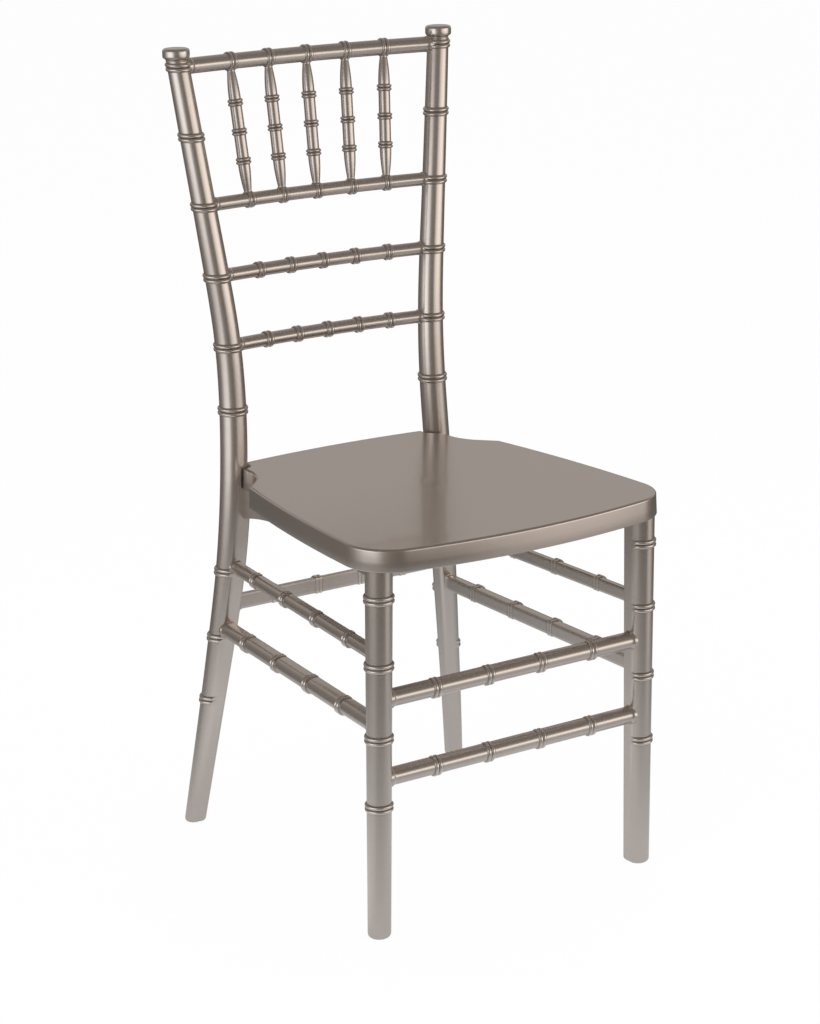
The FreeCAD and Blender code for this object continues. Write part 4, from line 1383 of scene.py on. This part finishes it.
# %% Studio panels
def panel_level(board, around, above, behind):
    """Brightness of the studio in each direction."""
    turn = around / (2 * math.pi) + 0.5
    floor_side = faded(board, above * -1.0, 7.0, 15.0)
    low = level_ramp(board, turn, AROUND, -180.0, 180.0) * (1.0 - floor_side)
    low = low + level_ramp(board, turn, AROUND_LOW, -180.0, 180.0) * floor_side
    share = (above / (math.pi / 2)).kept()
    front = level_ramp(board, share, ABOVE_FRONT, 0.0, 90.0)
    rear = level_ramp(board, share, ABOVE_BACK, 0.0, 90.0)
    high = (front * (1.0 - behind) + rear * behind) * faded(board, above, -4.0, 8.0)
    high = high.high(low * (1.0 - faded(board, above, 5.0, 22.0)))
    under = faded(board, above * -1.0, 30.0, 52.0)
    warm = held(board, around, (22.0, 42.0), (88.0, 112.0)) * held(board, above, (-14.0, 3.0), (4.0, 24.0))
    return high * (1.0 - under) + under * 0.24 + warm * 1.15


def panel_material():
    """The glow of the whole studio."""
    material, board = new_material("studio_panels")
    around, above, _ = directions(board)
    behind = faded(board, around.size(), 115.0, 140.0)
    level = panel_level(board, around, above, behind)
    tint = mixed(board, faded(board, around, -10.0, 60.0), (0.97, 1.0, 1.02, 1), (1.0, 0.955, 0.91, 1))
    tint = mixed(board, ((level - 0.15) * 2.2).kept(), (1.0, 0.90, 0.78, 1), tint)
    tint = mixed(board, behind, tint, (1.0, 0.95, 0.89, 1))
    lamp = board.node("ShaderNodeEmission", {}, {"Color": scaled(board, tint, level), "Strength": 1.0})
    board.node("ShaderNodeOutputMaterial", {}, {"Surface": lamp})
    return material


def mirror_only(piece):
    """A stage piece that only mirror rays see."""
    piece.visible_camera = False
    piece.visible_diffuse = False
    piece.visible_shadow = False
    piece.visible_transmission = False


panels = new_piece("studio_panels", globe("studio_panels", 24, 64), panel_material())
mirror_only(panels)
print("panels:", len(panels.data.polygons))

# %% [markdown]
# Close to its feet the chair mirrors the pale paper it stands on. That is why the lower legs
# are bright and even in the photo, while the posts have strong streaks. A round sheet, seen
# by mirror rays only and fading out with distance, does the same without lighting the whole
# floor.

# %% Sheet under the chair
SHEET_RADIUS = 1.35
SHEET_HEIGHT = 0.0003
SHEET_CLEAR_FROM, SHEET_CLEAR_OVER = 0.55, 0.75
SHEET = [(0.0, 0.62), (0.30, 0.60), (0.55, 0.44), (0.85, 0.34), (SHEET_RADIUS, 0.28)]


def sheet_material():
    """The paper's glow, brightest under the chair and clear at the rim."""
    material, board = new_material("studio_sheet")
    around, _, distance = directions(board)
    level = level_ramp(board, distance / SHEET_RADIUS, SHEET, 0.0, SHEET_RADIUS)
    level = level + level_ramp(board, around / (2 * math.pi) + 0.5, AROUND, -180.0, 180.0) * 0.09
    tint = board.node("ShaderNodeCombineXYZ", {}, {"X": level * 0.97, "Y": level, "Z": level * 1.03})
    lamp = board.node("ShaderNodeEmission", {}, {"Color": tint, "Strength": 1.0})
    clear = board.node("ShaderNodeBsdfTransparent", {}, {"Color": WHITE})
    gone = ((distance - SHEET_CLEAR_FROM) / SHEET_CLEAR_OVER).kept()
    both = board.node("ShaderNodeMixShader", {}, {0: gone, 1: lamp, 2: clear})
    board.node("ShaderNodeOutputMaterial", {}, {"Surface": both})
    return material


rim_turns = [math.radians(a) for a in range(0, 360, 5)]
rim = [(SHEET_RADIUS * math.cos(a), SHEET_RADIUS * math.sin(a), SHEET_HEIGHT) for a in rim_turns]
sheet_mesh = bpy.data.meshes.new("studio_sheet")
sheet_mesh.from_pydata(rim, [], [tuple(range(len(rim)))])
mirror_only(new_piece("studio_sheet", sheet_mesh, sheet_material()))
print("sheet points:", len(rim))

# %% [markdown]
# The panels give the streaks, and three soft boxes give the plain light that shapes the pale
# and matt parts and throws the shadow. Mirror rays don't see them, or they would add streaks
# of their own. Their power is low enough that a colour comes out about as it is written.


# %% Lamps
def soft_box(name, azimuth, elevation, distance, size, power, tint):
    """A square soft box that looks at the middle of the chair; azimuth counts from the camera's."""
    a, e = AZIMUTH + math.radians(azimuth), math.radians(elevation)
    back = Vector((math.sin(a) * math.cos(e), -math.cos(a) * math.cos(e), math.sin(e)))
    lamp = bpy.data.lights.new(name, "AREA")
    lamp.shape = "SQUARE"
    lamp.size = size
    lamp.energy = power
    lamp.color = tint
    placed = bpy.data.objects.new(name, lamp)
    placed.matrix_world = (back.to_track_quat("Z", "Y")).to_matrix().to_4x4()
    placed.location = CHAIR_MIDDLE + back * distance
    placed.visible_glossy = False
    scene.collection.objects.link(placed)
    return placed


CHAIR_MIDDLE = Vector((0.0, 0.0, 0.45))
lamps = [
    soft_box("key_lamp", -38.0, 38.0, 3.0, 1.8, 42.0, (0.97, 0.99, 1.0)),
    soft_box("warm_lamp", 70.0, 30.0, 3.2, 1.8, 30.0, (1.0, 0.93, 0.86)),
    soft_box("top_lamp", 150.0, 72.0, 3.0, 2.2, 36.0, (1.0, 1.0, 1.0)),
]
print("lamps:", [lamp.name for lamp in lamps])
